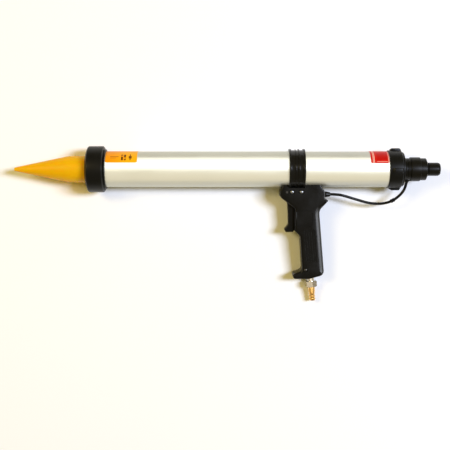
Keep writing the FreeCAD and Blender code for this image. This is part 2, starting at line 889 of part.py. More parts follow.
def make_shell(name, side):
    body = new_body(name)
    corners = shell_corners()
    sketch = polygon(new_sketch(body, "OutlineSketch"), [(x, y) for x, y, _ in corners])
    extrude(body, "Outline", sketch, "half_width", back=side < 0)
    for number, (x, y, radius) in enumerate(corners):
        if radius:
            round_edges(body, f"Corner{number}", radius, lambda edge: stands_at(edge, x, y))
    face = side * value("half_width")
    outer = lambda edge: all(abs(v.Point.z - face) < 1e-4 for v in edge.Vertexes)
    round_edges(body, "Rim", "handle_round", outer)

    sketch = polygon(new_sketch(body, "CavitySketch"), cavity_corners())
    extrude(body, "Cavity", sketch, "cavity_depth", cut=True, back=side < 0)
    saddle = box("clamp_x - 2 * head_rear", "clamp_x + 2 * head_rear", "0", "saddle_r")
    turn(body, "Saddle", saddle, cut=True)
    band = box(
        "clamp_x - clamp_width / 2 - slack", "clamp_x + clamp_width / 2 + slack", "0", "clamp_r + slack"
    )
    turn(body, "BandSlot", band, cut=True)

    clamp_holes = [f"clamp_x + {end} * clamp_screw_spacing / 2" for end in (-1, 1)]
    beside_ear = "clamp_split / 2 + ear_thickness + running"
    for number, x in enumerate(clamp_holes):
        boss(body, f"ClampBoss{number}", x, "clamp_screw_drop", "clamp_boss", beside_ear)
    boss(body, "PivotBoss", "pivot", "pivot_drop", "pivot_boss", "trigger_width / 2 + running")
    boss(body, "GripBoss", "clamp_x + grip_screw_x", "grip_screw_drop", "screw_boss", "snug")

    sketch = new_sketch(body, "ValveRestSketch", at=("0", "0", f"{side} * (valve_r + snug)"))
    front, back = "valve_x + valve_rest_inset", "valve_back - valve_rest_inset"
    rest = box(front, back, "-valve_drop - valve_r / 2", "-valve_drop + valve_r / 2")
    polygon(sketch, rest)
    extrude(body, "ValveRest", sketch, "half_width - valve_r - shell_wall / 2", back=side < 0)

    sketch = new_sketch(body, "TriggerSlotSketch")
    front, back = "pivot - trigger_eye / 2 - overrun", "blade + 2 * trigger_depth"
    slot = box(front, back, "-trigger_drop - trigger_sweep", "-pivot_drop")
    polygon(sketch, slot)
    extrude(body, "TriggerSlot", sketch, "trigger_width / 2 + trigger_side_gap", cut=True, back=side < 0)

    for number, x in enumerate(clamp_holes):
        drill(body, f"ClampHole{number}", x, "clamp_screw_drop", "screw_diameter + 2 * running")
    drill(body, "PivotHole", "pivot", "pivot_drop", "pin_diameter + 2 * snug")
    drill_screw_seats(body, clamp_holes, side)

    inlet = ("clamp_x + inlet_x", "-inlet_drop", "0")
    stub = box("-inlet_stub - overrun", "inlet_collar", "0", "inlet_stub_outer / 2 + snug")
    turn(body, "InletBore", stub, cut=True, at=inlet, lean="inlet_turn")
    root = box("fitting_x - shell_wall - overrun", "fitting_x + overrun", "0", "fitting_root / 2 + snug")
    turn(body, "FittingBore", root, cut=True, at=("0", "-hose_drop", "0"))


def drill_screw_seats(body, clamp_holes, side):
    """Head recesses on the left shell, nut pockets on the right one."""
    grip = ("clamp_x + grip_screw_x", "grip_screw_drop")
    if side > 0:
        seat = "half_width - screw_head_height - snug"
        heads = [(x, "clamp_screw_drop") for x in clamp_holes] + [grip]
        for number, (x, drop) in enumerate(heads):
            drill(body, f"HeadSeat{number}", x, drop, "screw_head + 2 * slack", low=seat)
        drill(body, "GripHole", *grip, "screw_diameter + 2 * running")
        return
    for number, x in enumerate(clamp_holes):
        sketch = new_sketch(body, f"NutSeatSketch{number}", at=("0", "0", "-half_width - overrun"))
        polygon(sketch, hexagon(x, "-clamp_screw_drop", "(nut_across_flats + 2 * running)"))
        extrude(body, f"NutSeat{number}", sketch, "nut_height + snug + overrun", cut=True)
    drill(body, "GripHole", *grip, "screw_diameter + 2 * snug", high="half_width - shell_wall")


def make_handle():
    make_shell("handle_left", 1)
    make_shell("handle_right", -1)
    make_screw("grip_screw", "clamp_x + grip_screw_x", "grip_screw_drop", "handle_width - 2 * shell_wall")
    body = new_body("trigger_pin")
    sketch = circle(new_sketch(body, "PinSketch"), "pivot", "-pivot_drop", "pin_diameter")
    extrude(body, "Pin", sketch, "handle_width - 1", both=True)


# ---------------------------------------------------------------- trigger and valve


def make_trigger():
    back = "blade + trigger_depth"
    neck = "pivot + neck_back"
    hook = "blade - hook_reach"
    corners = [
        ("pivot - neck_front", "-pivot_drop", None),
        ("pivot - brow_front", "-brow_drop", "brow_round"),
        ("blade", "-face_drop", "face_round"),
        ("blade", "2 * hook_height - trigger_drop", "hook_throat_round"),
        (hook, "hook_height - trigger_drop", "hook_round"),
        (f"{hook} + hook_slope", "-trigger_drop", "hook_lip_round"),
        (f"{back} - trigger_heel", "-trigger_drop", "trigger_heel_round"),
        (back, "2 * hook_height - trigger_drop", "trigger_back_round"),
        (back, "-trigger_top", "trigger_shoulder_round"),
        (neck, "-nape_drop", "nape_round"),
        (neck, "-pivot_drop", None),
    ]
    body = new_body("trigger")
    sketch = polygon(new_sketch(body, "BladeSketch"), [(x, y) for x, y, _ in corners])
    extrude(body, "Blade", sketch, "trigger_width", both=True)
    for number, (x, y, radius) in enumerate(corners):
        if radius:
            round_edges(body, f"Corner{number}", radius, lambda edge: stands_at(edge, x, y))
    sketch = circle(new_sketch(body, "EyeSketch"), "pivot", "-pivot_drop", "trigger_eye")
    extrude(body, "Eye", sketch, "trigger_width", both=True)
    sketch = new_sketch(body, "PinHoleSketch")
    circle(sketch, "pivot", "-pivot_drop", "pin_diameter + 2 * running")
    extrude(body, "PinHole", sketch, "trigger_width + overrun", cut=True, both=True)


def make_valve():
    line = ("0", "-valve_drop", "0")
    neck = "valve_x + valve_neck"
    chamber = "valve_chamber / 2"
    throat = "valve_throat / 2"
    bore = "stem_r + running"
    body = new_body("valve_body")
    turn(body, "Valve", [
        ("valve_x", bore),
        ("valve_x", "valve_r"),
        ("valve_back", "valve_r"),
        ("valve_back", chamber),
        ("seat_x", chamber),
        ("seat_x", throat),
        (neck, throat),
        (neck, bore),
    ], at=line)
    outlet = box("valve_r - pipe_socket", "valve_r + overrun", "0", "pipe_outer / 2 + snug")
    turn(body, "Outlet", outlet, cut=True, at=(outlet_x(), "-valve_drop", "0"), lean="90")
    way = box("0", "valve_r", "0", "pipe_bore / 2")
    turn(body, "OutletWay", way, cut=True, at=(outlet_x(), "-valve_drop", "0"), lean="90")
    turn(body, "Inlet", outlet, cut=True, at=(supply_x(), "-valve_drop", "0"), lean="-90")
    turn(body, "InletWay", way, cut=True, at=(supply_x(), "-valve_drop", "0"), lean="-90")

    body = new_body("valve_plug")
    turn(body, "Plug", [
        ("valve_back + snug", "0"),
        ("valve_back + plug_flange", "0"),
        ("valve_back + plug_flange", "valve_r"),
        ("valve_back + snug", "valve_r"),
        ("valve_back + snug", f"{chamber} - snug"),
        ("valve_back - plug_spigot", f"{chamber} - snug"),
        ("valve_back - plug_spigot", "valve_spring_outer / 2 + plug_gap"),
        ("valve_back + snug", "valve_spring_outer / 2 + plug_gap"),
    ], at=line)

    poppet = "seat_x + snug + washer_height"
    body = new_body("valve_stem")
    turn(body, "Stem", [
        ("blade + trigger_depth + stem_gap", "0"),
        ("blade + trigger_depth + stem_gap", "stem_r - stem_bevel"),
        ("blade + trigger_depth + stem_gap + stem_bevel", "stem_r"),
        (poppet, "stem_r"),
        (poppet, "poppet_outer / 2"),
        (f"{poppet} + poppet_height", "poppet_outer / 2"),
        (f"{poppet} + poppet_height", "0"),
    ], at=line)
    body = new_body("valve_washer")
    washer = box("seat_x + snug", "seat_x + snug + washer_height", "stem_r + snug", "poppet_outer / 2")
    turn(body, "Washer", washer, at=line)
    start = f"{poppet} + poppet_height + snug"
    coil_spring(
        "valve_spring", start, "-valve_drop", f"(valve_back - ({start}))",
        "valve_spring_outer", "valve_wire", "valve_spring_turns"
    )


def outlet_x():
    return "valve_x + valve_neck + pipe_bore / 2"


def supply_x():
    return "valve_back - plug_spigot - pipe_outer / 2 - supply_gap"


# ---------------------------------------------------------------- air line


def place_along_grip(part):
    """Set a piece drawn along X on the inlet's line, which follows the rake of the grip."""
    part.Placement = FreeCAD.Placement(
        FreeCAD.Vector(value("clamp_x + inlet_x"), value("-inlet_drop"), 0),
        FreeCAD.Rotation(FreeCAD.Vector(0, 0, 1), value("inlet_turn")),
    )


def make_inlet():
    hex_end = "inlet_collar + inlet_hex_length"
    body = new_body("inlet_adapter")
    sketch = new_sketch(body, "HexSketch", "YZ_Plane", ("0", "0", "inlet_collar"))
    polygon(sketch, hexagon("0", "0", "inlet_hex"))
    extrude(body, "Hex", sketch, "inlet_hex_length")
    turn(body, "Collar", box("inlet_seat", "inlet_collar", "0", "inlet_collar_outer / 2"))
    turn(body, "Stub", box("-inlet_stub", "inlet_seat", "0", "inlet_stub_outer / 2"))
    air_way = box("-inlet_stub - overrun", f"{hex_end} + overrun", "0", "inlet_bore / 2")
    turn(body, "AirWay", air_way, cut=True)
    turn(body, "PipeSocket", box(
        "-inlet_stub - overrun", "pipe_socket - inlet_stub", "0", "pipe_outer / 2 + snug"
    ), cut=True)
    turn(body, "NippleSocket", box(
        f"{hex_end} - nipple_stub", f"{hex_end} + overrun", "0", "nipple_stub_outer / 2 + snug"
    ), cut=True)
    turn(body, "HexBevel", [
        (hex_end, "inlet_hex / 2"),
        (f"{hex_end} + overrun", "inlet_hex / 2"),
        (f"{hex_end} + overrun", "inlet_hex"),
        (f"{hex_end} - inlet_hex_bevel", "inlet_hex"),
        (f"{hex_end} - inlet_hex_bevel", "inlet_hex / sqrt(3)"),
    ], cut=True)
    place_along_grip(body)

    root = f"{hex_end} + snug"
    end = f"{root} + nipple_length"
    waist, crest = "nipple_waist / 2", "nipple_outer / 2"
    barbs = [(root, crest), (f"{root} + nipple_grip", crest)]
    step = "(nipple_length - nipple_grip) / barb_count"
    for number in range(int(SIZES["barb_count"])):
        start = f"{root} + nipple_grip + {number} * {step}"
        flank = f"{start} + barb_waist * {step}"
        barbs += [(start, waist), (flank, waist), (flank, crest)]
    barbs += [(end, waist)]
    body = new_body("inlet_nipple")
    turn(body, "Nipple", [
        (f"{hex_end} - nipple_stub + nipple_stub_gap", "inlet_bore / 2"),
        (f"{hex_end} - nipple_stub + nipple_stub_gap", "nipple_stub_outer / 2"),
        (root, "nipple_stub_outer / 2"),
        *barbs,
        (end, "inlet_bore / 2"),
    ])
    place_along_grip(body)


def on_inlet_line(along):
    """A point on the inlet's line, as numbers."""
    turned = math.radians(value("inlet_turn"))
    x = value("clamp_x + inlet_x") + along * math.cos(turned)
    return x, value("-inlet_drop") + along * math.sin(turned), 0.0


def make_pipes():
    top = value("-valve_drop + valve_r - pipe_socket + snug")
    low = value("-valve_drop - valve_r + pipe_socket - snug")
    supply, outlet = value(supply_x()), value(outlet_x())
    start, run = value("pipe_socket - inlet_stub - snug"), value("feed_straight")
    bend = value("feed_bend")
    feed = [on_inlet_line(start), on_inlet_line(start - run), (supply, low - bend, 0), (supply, low, 0)]
    tube("feed_pipe", feed, "pipe_outer", "pipe_bore", bend)
    line = value("-hose_drop")
    fitting = value("fitting_x - fitting_root - pipe_socket")
    knee = (outlet, top + value("delivery_rise"), 0)
    elbow = (fitting - value("delivery_run"), line, 0)
    rise = [(outlet, top, 0), knee, elbow, (fitting, line, 0)]
    tube("delivery_pipe", rise, "pipe_outer", "pipe_bore", value("delivery_bend"))


def make_hose_line():
    """The fitting on the handle, the hose with its sleeve, and the port on the regulator."""
    inside = "fitting_x - fitting_root"
    body = new_body("hose_fitting")
    turn(body, "Fitting", [
        (f"{inside} - fitting_cup", "pipe_outer / 2 + snug"),
        (f"{inside} - fitting_cup", "fitting_outer / 2"),
        ("fitting_x - shell_wall - snug", "fitting_outer / 2"),
        ("fitting_x - shell_wall - snug", "fitting_root / 2"),
        ("fitting_x + snug", "fitting_root / 2"),
        ("fitting_x + snug", "fitting_outer / 2"),
        ("fitting_end", "fitting_tip / 2"),
        ("fitting_end", "hose_bore / 2"),
        (f"{inside} - snug", "hose_bore / 2"),
        (f"{inside} - snug", "pipe_outer / 2 + snug"),
    ], at=("0", "-hose_drop", "0"))

    wire = tube("air_hose", HOSE_ROUTE, "hose_outer", "hose_bore")
    sleeve = DOC.addObject("Part::Cut", "hose_sleeve")
    part = stretch(wire, value("sleeve_place") * wire.Length, value("sleeve_length"))
    sleeve.Base = sweep("hose_sleeveOuter", part, "sleeve_outer")
    sleeve.Tool = sweep("hose_sleeveBore", part, "hose_outer")
    sleeve.Label = "hose_sleeve"
    PARTS["hose_sleeve"] = sleeve

    body = new_body("hose_port")
    turn(body, "Port", [
        ("0", "hose_bore / 2"),
        ("0", "hose_outer / 2 + port_lip"),
        ("port_bevel", "port_outer / 2"),
        ("port_length", "port_outer / 2"),
        ("port_length", "hose_bore / 2"),
    ], at=PORT_MOUTH, lean="port_lean")


# ---------------------------------------------------------------- pressure regulator


def make_regulator():
    nose_r = "regulator_nose_outer / 2"
    nose_front = "regulator_x - regulator_nose"
    chamber = "regulator_r - regulator_wall"
    seat_x = "joint_x - lift_seat"
    body = new_body("regulator_body")
    turn(body, "Body", [
        (nose_front, "lift_chamber / 2"),
        (nose_front, nose_r),
        ("regulator_x + snug", nose_r),
        ("regulator_x + snug", "regulator_r"),
        ("joint_x", "regulator_r"),
        ("joint_x", chamber),
        ("joint_x - cover_depth", chamber),
        ("joint_x - cover_depth", "lift_way / 2"),
        (seat_x, "lift_way / 2"),
        (seat_x, "lift_chamber / 2"),
    ])
    hole = box("-overrun", "port_length + snug", "0", "port_outer / 2 + snug")
    turn(body, "PortBore", hole, cut=True, at=PORT_MOUTH, lean="port_lean")

    body = new_body("regulator_valve")
    turn(body, "Lift", [
        (f"{seat_x} - lift_head_height", "0"),
        (f"{seat_x} - lift_head_height", "lift_head / 2"),
        (f"{seat_x} - snug", "lift_head / 2"),
        (f"{seat_x} - snug", "lift_stem / 2"),
        ("joint_x - snug", "lift_stem / 2"),
        ("joint_x - snug", "0"),
    ])
    spring_front = f"{nose_front} + stop_seat"
    spring_room = f"({seat_x} - lift_head_height - snug - ({spring_front}))"
    coil_spring(
        "regulator_valve_spring", spring_front, "0", spring_room,
        "lift_head", "valve_wire", "lift_spring_turns"
    )
    body = new_body("regulator_spring_stop")
    turn(body, "Stop", box(
        f"{nose_front} + stop_inset", f"{spring_front} - snug", "hose_bore / 2", "lift_chamber / 2 - snug"
    ))

    body = new_body("regulator_diaphragm")
    disc = box("joint_x + snug", "joint_x + snug + diaphragm_thickness", "0", "diaphragm_outer / 2")
    turn(body, "Disc", disc)

    bonnet_face = "joint_x + 2 * snug + diaphragm_thickness"
    bonnet_floor = "bonnet_end - regulator_cone - bonnet_roof"
    inner = "seat_outer / 2 + running"
    body = new_body("regulator_bonnet")
    turn(body, "Bonnet", [
        ("joint_x + snug", "diaphragm_outer / 2 + snug"),
        ("joint_x + snug", "regulator_r"),
        ("bonnet_end - regulator_cone", "regulator_r"),
        ("bonnet_end", "knob_outer / 2"),
        ("bonnet_end", "adjuster_diameter / 2 + running"),
        (bonnet_floor, "adjuster_diameter / 2 + running"),
        (bonnet_floor, inner),
        (bonnet_face, inner),
        (bonnet_face, "diaphragm_outer / 2 + snug"),
    ])

    ring_front = "regulator_x + clamp_ring_front"
    ring_back = f"{ring_front} + clamp_ring_length"
    outer, cut = "clamp_ring_outer / 2", "clamp_ring_round"
    body = new_body("regulator_clamp_ring")
    turn(body, "ClampRing", [
        (ring_front, "regulator_r + snug"),
        (ring_front, f"{outer} - {cut}"),
        (f"{ring_front} + {cut}", outer),
        (f"{ring_back} - {cut}", outer),
        (ring_back, f"{outer} - {cut}"),
        (ring_back, "regulator_r + snug"),
    ])

    seat_back = f"{bonnet_floor} - seat_gap"
    seat_front = f"{seat_back} - seat_height"
    body = new_body("regulator_spring_seat")
    turn(body, "Seat", box(seat_front, seat_back, "adjuster_diameter / 2 + running", "seat_outer / 2"))
    spring_start = f"{bonnet_face} + snug"
    coil_spring(
        "regulator_spring", spring_start, "0", f"({seat_front} - snug - ({spring_start}))",
        "regulator_spring_outer", "regulator_wire", "regulator_spring_turns"
    )

    knob_back = "knob_front + knob_length"
    body = new_body("regulator_knob")
    turn(body, "Knob", [
        ("knob_front", "0"),
        ("knob_front", "knob_outer / 2"),
        (knob_back, "knob_outer / 2"),
        (knob_back, "0"),
    ])
    round_edges(body, "KnobRound", "knob_round", lambda edge: rim_at(edge, knob_back, "knob_outer / 2"))
    adjuster = box(f"{seat_front} - adjuster_tail", "knob_front + overrun", "0", "adjuster_diameter / 2")
    turn(body, "Adjuster", adjuster)


# ---------------------------------------------------------------- labels


def make_labels():
    low, high = "barrel_r + snug / 2", "barrel_r + snug / 2 + label_thickness"
    for name in ("front_label", "rear_label"):
        body = new_body(name)
        strip = box(f"{name}_x", f"{name}_x + {name}_length", low, high)
        turn(body, "Strip", strip, angle=f"{name}_wrap", halved=True)


# ---------------------------------------------------------------- resting place


def resting_roll():
    """The roll in degrees that brings the grip's rounded side down to the floor that the ring lies on."""
    height = value("ring_r - handle_round")
    reach = value("foot_drop - handle_round")
    side = value("half_width - handle_round")
    return math.degrees(math.asin(height / math.hypot(reach, side)) - math.atan2(side, reach))


def rest_placement():
    """Roll the gun about its barrel, then set the middle of its length and width over the origin."""
    roll = FreeCAD.Placement(
        FreeCAD.Vector(0, 0, value("ring_r")), FreeCAD.Rotation(FreeCAD.Vector(1, 0, 0), resting_roll())
    )
    bounds = FreeCAD.BoundBox()
    for name, part in PARTS.items():
        if name in CORD_PIECES:
            continue
        shape = part.Shape.copy()
        shape.Placement = roll * shape.Placement
        bounds.add(shape.optimalBoundingBox(False))
    middle = FreeCAD.Vector(-bounds.Center.x, -bounds.Center.y, 0)
    return FreeCAD.Placement(middle, FreeCAD.Rotation()) * roll


def check_parts():
    """Stop if any object failed, or any piece is empty or unsound."""
    failed = [o.Name for o in DOC.Objects if {"Invalid", "Error"} & set(o.State)]
    if failed:
        raise RuntimeError(f"failed objects: {failed}")
    unsound = [n for n, p in PARTS.items() if p.Shape.isNull() or not p.Shape.isValid()]
    if unsound:
        raise RuntimeError(f"unsound pieces: {unsound}")


def build():
    fill_sheet()
    make_barrel()
    make_front_ring()
    make_nozzle()
    make_rear_cap()
    make_piston()
    make_clamp()
    make_handle()
    make_trigger()
    make_valve()
    make_inlet()
    make_pipes()
    make_hose_line()
    make_regulator()
    make_labels()
    DOC.recompute()
    check_parts()
    rest = rest_placement()
    for part in PARTS.values():
        part.Placement = rest * part.Placement
    DOC.recompute()
    check_parts()
    return rest


REST = build()
os.makedirs("parts", exist_ok=True)
for label, piece in PARTS.items():
    piece.Shape.exportStep(f"parts/{label}.step")
print(f"{len(PARTS)} pieces, rolled by {resting_roll():.2f} degrees")
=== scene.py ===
import json
import math

import bmesh
import bpy
import numpy as np
from mathutils import Matrix, Vector
from mathutils.geometry import delaunay_2d_cdt


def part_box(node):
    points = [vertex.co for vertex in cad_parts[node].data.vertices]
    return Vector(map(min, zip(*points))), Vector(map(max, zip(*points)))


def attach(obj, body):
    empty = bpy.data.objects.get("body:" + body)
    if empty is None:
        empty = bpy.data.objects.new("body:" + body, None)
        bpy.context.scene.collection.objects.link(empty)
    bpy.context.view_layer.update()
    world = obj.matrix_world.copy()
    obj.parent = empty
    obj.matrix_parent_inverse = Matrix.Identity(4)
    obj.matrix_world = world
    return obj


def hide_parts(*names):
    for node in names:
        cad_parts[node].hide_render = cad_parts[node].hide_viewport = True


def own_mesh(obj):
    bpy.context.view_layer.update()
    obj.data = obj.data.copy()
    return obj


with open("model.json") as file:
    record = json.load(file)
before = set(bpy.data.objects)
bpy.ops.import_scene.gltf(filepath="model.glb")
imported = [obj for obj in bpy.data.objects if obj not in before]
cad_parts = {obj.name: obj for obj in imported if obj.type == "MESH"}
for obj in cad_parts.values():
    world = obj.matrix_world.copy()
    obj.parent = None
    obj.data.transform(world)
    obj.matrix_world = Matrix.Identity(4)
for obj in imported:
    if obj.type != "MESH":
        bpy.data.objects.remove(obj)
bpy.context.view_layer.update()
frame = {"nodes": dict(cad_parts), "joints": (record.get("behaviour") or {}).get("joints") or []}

# The gun is drawn in its own frame, in millimetres: X runs back along the barrel from its front face, the
# grip points to -Y, and Z = 0 is the joint between the handle's two shells. One matrix, GUN, lays that frame
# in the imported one.
MM = 0.001
SCENE = bpy.context.scene


def gun_frame():
    """Where the gun's own frame lies: on the barrel's axis, rolled as the trigger's hinge is."""
    low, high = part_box("barrel_tube")
    hinge = next(joint for joint in frame["joints"] if joint["name"] == "trigger_pull")
    roll = math.atan2(-hinge["axis"][1], hinge["axis"][2])
    origin = Matrix.Translation((low.x, (low.y + high.y) / 2, (low.z + high.z) / 2))
    return origin @ Matrix.Rotation(roll, 4, "X") @ Matrix.Scale(MM, 4)


def size_of(node, axis):
    """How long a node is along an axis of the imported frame, to a hundredth of a millimetre."""
    low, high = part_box(node)
    return round((high - low)[axis] / MM, 2)


GUN = gun_frame()

# Sizes and places that several pieces share, in mm.
LENGTH = size_of("barrel_tube", 0)  # of the barrel: its rear face is at this X
TUBE = size_of("barrel_tube", 1) / 2  # the barrel's outer radius
BORE = TUBE - 1.5
PLAY = 0.05  # between two surfaces that fit together
SEAT = TUBE + PLAY  # the inner radius of what sits on the barrel
BAND = (279.5, 302.5)  # front and rear edge of the band clamp
SIDE = 14  # half of the handle's width
EAR_SCREWS = [(284.25, -31.8), (297.75, -31.8)]  # through the clamp's ears
FOOT_SCREW = (304.5, -144.2)
PIN = (277, -31.8)  # the trigger turns about it
HOLE = 1.58  # radius of the holes for the screws and the pin
HOSE_Y = -36  # where the hose leaves the handle
PORT = (LENGTH + 14.3, -18, 0)  # and where it meets the regulator

# -------------------- camera and light

VIEW_ANGLE = 28.9  # degrees
VIEW_FROM = (0.1888, -0.0798, 1.25)  # metres from the middle of the barrel's front face
AIM = (230, -40, 0)  # the place on the gun that every lamp looks at, in mm


def place_camera():
    """Straight above the bench, over the middle of the gun."""
    lens = bpy.data.cameras.new("camera")
    lens.angle = math.radians(VIEW_ANGLE)
    camera = bpy.data.objects.new("camera", lens)
    camera.location = GUN.translation + Vector(VIEW_FROM)
    SCENE.collection.objects.link(camera)
    SCENE.camera = camera


def softbox(name, direction, distance, size, power, tint):
    """A rectangular area lamp that looks at the gun: distance and size in metres, power in watts."""
    lamp = bpy.data.lights.new(name, "AREA")
    lamp.shape = "RECTANGLE"
    lamp.size, lamp.size_y = size
    lamp.energy = power
    lamp.color = linear(tint)[:3]
    holder = bpy.data.objects.new(name, lamp)
    towards = Vector(direction).normalized()
    holder.location = GUN @ Vector(AIM) + towards * distance
    holder.rotation_euler = towards.to_track_quat("Z", "Y").to_euler()
    SCENE.collection.objects.link(holder)
    return holder


def reflector(name, direction, distance, size, power, tint, mirrors):
    """A bright card that shows only as a reflection, and only in the pieces that are its mirrors."""
    card = softbox(name, direction, distance, size, power, tint)
    card.visible_diffuse = card.visible_transmission = False
    seen_in = bpy.data.collections.new(name)
    for piece in mirrors:
        seen_in.objects.link(piece)
    card.light_linking.receiver_collection = seen_in


def linear(tint):
    """The linear colour that an sRGB hex value stands for."""
    shares = [int(tint[digit : digit + 2], 16) / 255 for digit in (1, 3, 5)]
    rgb = [share / 12.92 if share <= 0.04045 else ((share + 0.055) / 1.055) ** 2.4 for share in shares]
    return (*rgb, 1.0)


def add(tree, kind, inputs=None, **settings):
    """One node with its settings; each input takes a value or a link from another node's socket."""
    node = tree.nodes.new(kind)
    for name, setting in settings.items():
        setattr(node, name, setting)
    for socket, source in (inputs or {}).items():
        if isinstance(source, bpy.types.NodeSocket):
            tree.links.new(source, node.inputs[socket])
        else:
            node.inputs[socket].default_value = source
    return node


def maths(tree, operation, *values):
    """The result of one sum."""
    return add(tree, "ShaderNodeMath", dict(enumerate(values)), operation=operation).outputs[0]


def blend(tree, share, first, second):
    """A share of the second colour over the first."""
    return add(tree, "ShaderNodeMix", {0: share, 6: first, 7: second}, data_type="RGBA").outputs[2]


def backdrop(tree, tint, strength):
    return add(tree, "ShaderNodeBackground", {"Color": linear(tint), "Strength": strength}).outputs[0]


def light_world():
    """The room: white where it is seen, a dim grey where it is mirrored, and a warm soft fill as a lamp."""
    world = bpy.data.worlds.new("room")
    SCENE.world = world
    world.use_nodes = True
    tree = world.node_tree
    tree.nodes.clear()
    path = add(tree, "ShaderNodeLightPath").outputs
    fill = backdrop(tree, "#FFDF5E", 0.27)
    grey = backdrop(tree, "#FFEBC0", 0.34)
    white = backdrop(tree, "#FFFFFF", 1.0)
    lit = add(tree, "ShaderNodeMixShader", {0: path["Is Glossy Ray"], 1: fill, 2: grey}).outputs[0]
    seen = add(tree, "ShaderNodeMixShader", {0: path["Is Camera Ray"], 1: lit, 2: white}).outputs[0]
    add(tree, "ShaderNodeOutputWorld", {"Surface": seen})


# -------------------- materials


def new_material(name, sockets):
    """An empty procedural material: its tree and its Principled shader with these constants."""
    made = bpy.data.materials.new(name)
    made.use_nodes = True
    tree = made.node_tree
    shader = tree.nodes["Principled BSDF"]
    for socket, setting in sockets.items():
        shader.inputs[socket].default_value = setting
    return made, tree, shader


def surface(name, tint, shade, rough, grain, depth, metallic=0.0, stretch=(1, 1, 1), blotch=18, **more):
    """A finish made of a fine grain in bump and gloss, and slow blotches between two tints.

    grain and blotch are sizes in mm, depth is the grain's height in mm, rough is (low, high), and stretch
    shrinks the pattern's frequency along an axis, which draws the grain out into lines.
    """
    sockets = {"Metallic": metallic, **{key.replace("_", " "): setting for key, setting in more.items()}}
    made, tree, shader = new_material(name, sockets)
    place = add(tree, "ShaderNodeTexCoord").outputs["Object"]
    drawn = add(tree, "ShaderNodeMapping", {"Vector": place, "Scale": stretch}).outputs[0]
    fine = add(tree, "ShaderNodeTexNoise", {"Vector": drawn, "Scale": 1 / (grain * MM), "Detail": 3.0})
    slow = add(tree, "ShaderNodeTexNoise", {"Vector": place, "Scale": 1 / (blotch * MM), "Detail": 2.0})
    both = maths(tree, "ADD", fine.outputs[0], slow.outputs[0])
    # each noise lies about 0.5, so their sum seldom leaves this range
    gloss = add(tree, "ShaderNodeMapRange", {
        "Value": both, "From Min": 0.6, "From Max": 1.4, "To Min": rough[0], "To Max": rough[1],
    })
    colour = blend(tree, slow.outputs[0], linear(tint), linear(shade))
    relief = add(tree, "ShaderNodeBump", {"Height": fine.outputs[0], "Distance": depth * MM, "Strength": 1.0})
    tree.links.new(gloss.outputs[0], shader.inputs["Roughness"])
    tree.links.new(colour, shader.inputs["Base Color"])
    tree.links.new(relief.outputs[0], shader.inputs["Normal"])
    return made


def make_materials():
    """Every finish on the gun, by name."""
    looks = {}

    def look(name, *given, **more):
        looks[name] = surface(name, *given, **more)

    # drawn tube, etched and clear anodised: soft satin with faint lines along the draw
    look("anodised_aluminium", "#B8B8AC", "#C0C0B5", (0.36, 0.44), 1.2, 0.003, metallic=1.0,
         stretch=(0.02, 1, 1), blotch=60)
    # moulded nylon, black through and through: satin with the mould's fine spark texture
    look("black_nylon", "#0A0A08", "#10100C", (0.3, 0.42), 0.5, 0.02, Specular_IOR_Level=0.18)
    # the clamp is the same nylon from a polished mould: sharper glints on its ridges
    look("polished_nylon", "#090907", "#0E0E0B", (0.18, 0.28), 0.6, 0.01, Specular_IOR_Level=0.3)
    # moulded ABS grip: black, a little glossy where it is rounded
    look("black_abs", "#060502", "#0A0905", (0.24, 0.36), 0.45, 0.012, Specular_IOR_Level=0.2)
    # acetal regulator housing: smooth and dark with a slight waxy sheen
    look("black_acetal", "#0C0B07", "#13120B", (0.28, 0.38), 0.6, 0.012, Specular_IOR_Level=0.18)
    # polyethylene nozzle: amber, cloudy, lets light through its wall
    look("amber_polyethylene", "#FFB604", "#FFBC08", (0.36, 0.46), 1.5, 0.01, blotch=30,
         Transmission_Weight=0.15, Subsurface_Weight=0.4, Subsurface_Scale=0.005, IOR=1.51,
         Specular_IOR_Level=0.08)
    # nitrile rubber: matt black
    look("nitrile_rubber", "#0D0D0D", "#141413", (0.7, 0.85), 0.4, 0.02, Specular_IOR_Level=0.1)
    # polyurethane tube: smooth black with a thin wet-looking glint
    look("polyurethane", "#080808", "#0D0D0C", (0.22, 0.3), 1.0, 0.004, Specular_IOR_Level=0.25)
    # zinc-plated steel of the clamp's screws and nuts: clean grey with bright glints
    look("zinc_steel", "#9FA1A2", "#929493", (0.24, 0.36), 0.6, 0.004, metallic=1.0)
    # plain steel, oiled: much darker than the plated screws
    look("oiled_steel", "#55524D", "#48453F", (0.4, 0.5), 0.5, 0.004, metallic=1.0)
    # bright drawn spring wire
    look("spring_steel", "#B4B5B6", "#A3A4A6", (0.25, 0.35), 0.5, 0.004, metallic=1.0)
    # nickel-plated brass, turned: the plating is a little warm
    look("nickel_plate", "#D9D3C6", "#CBC4B4", (0.16, 0.26), 0.5, 0.004, metallic=1.0, blotch=6)
    # turned brass: warm gold
    look("turned_brass", "#F2C77E", "#E6B566", (0.2, 0.32), 0.4, 0.006, metallic=1.0, blotch=6)
    # white acetal and polyethylene inside the gun
    look("white_acetal", "#E9E9E4", "#E0E0DA", (0.4, 0.5), 0.8, 0.01)
    return looks


# -------------------- meshes

ARC_STEP = math.radians(12)


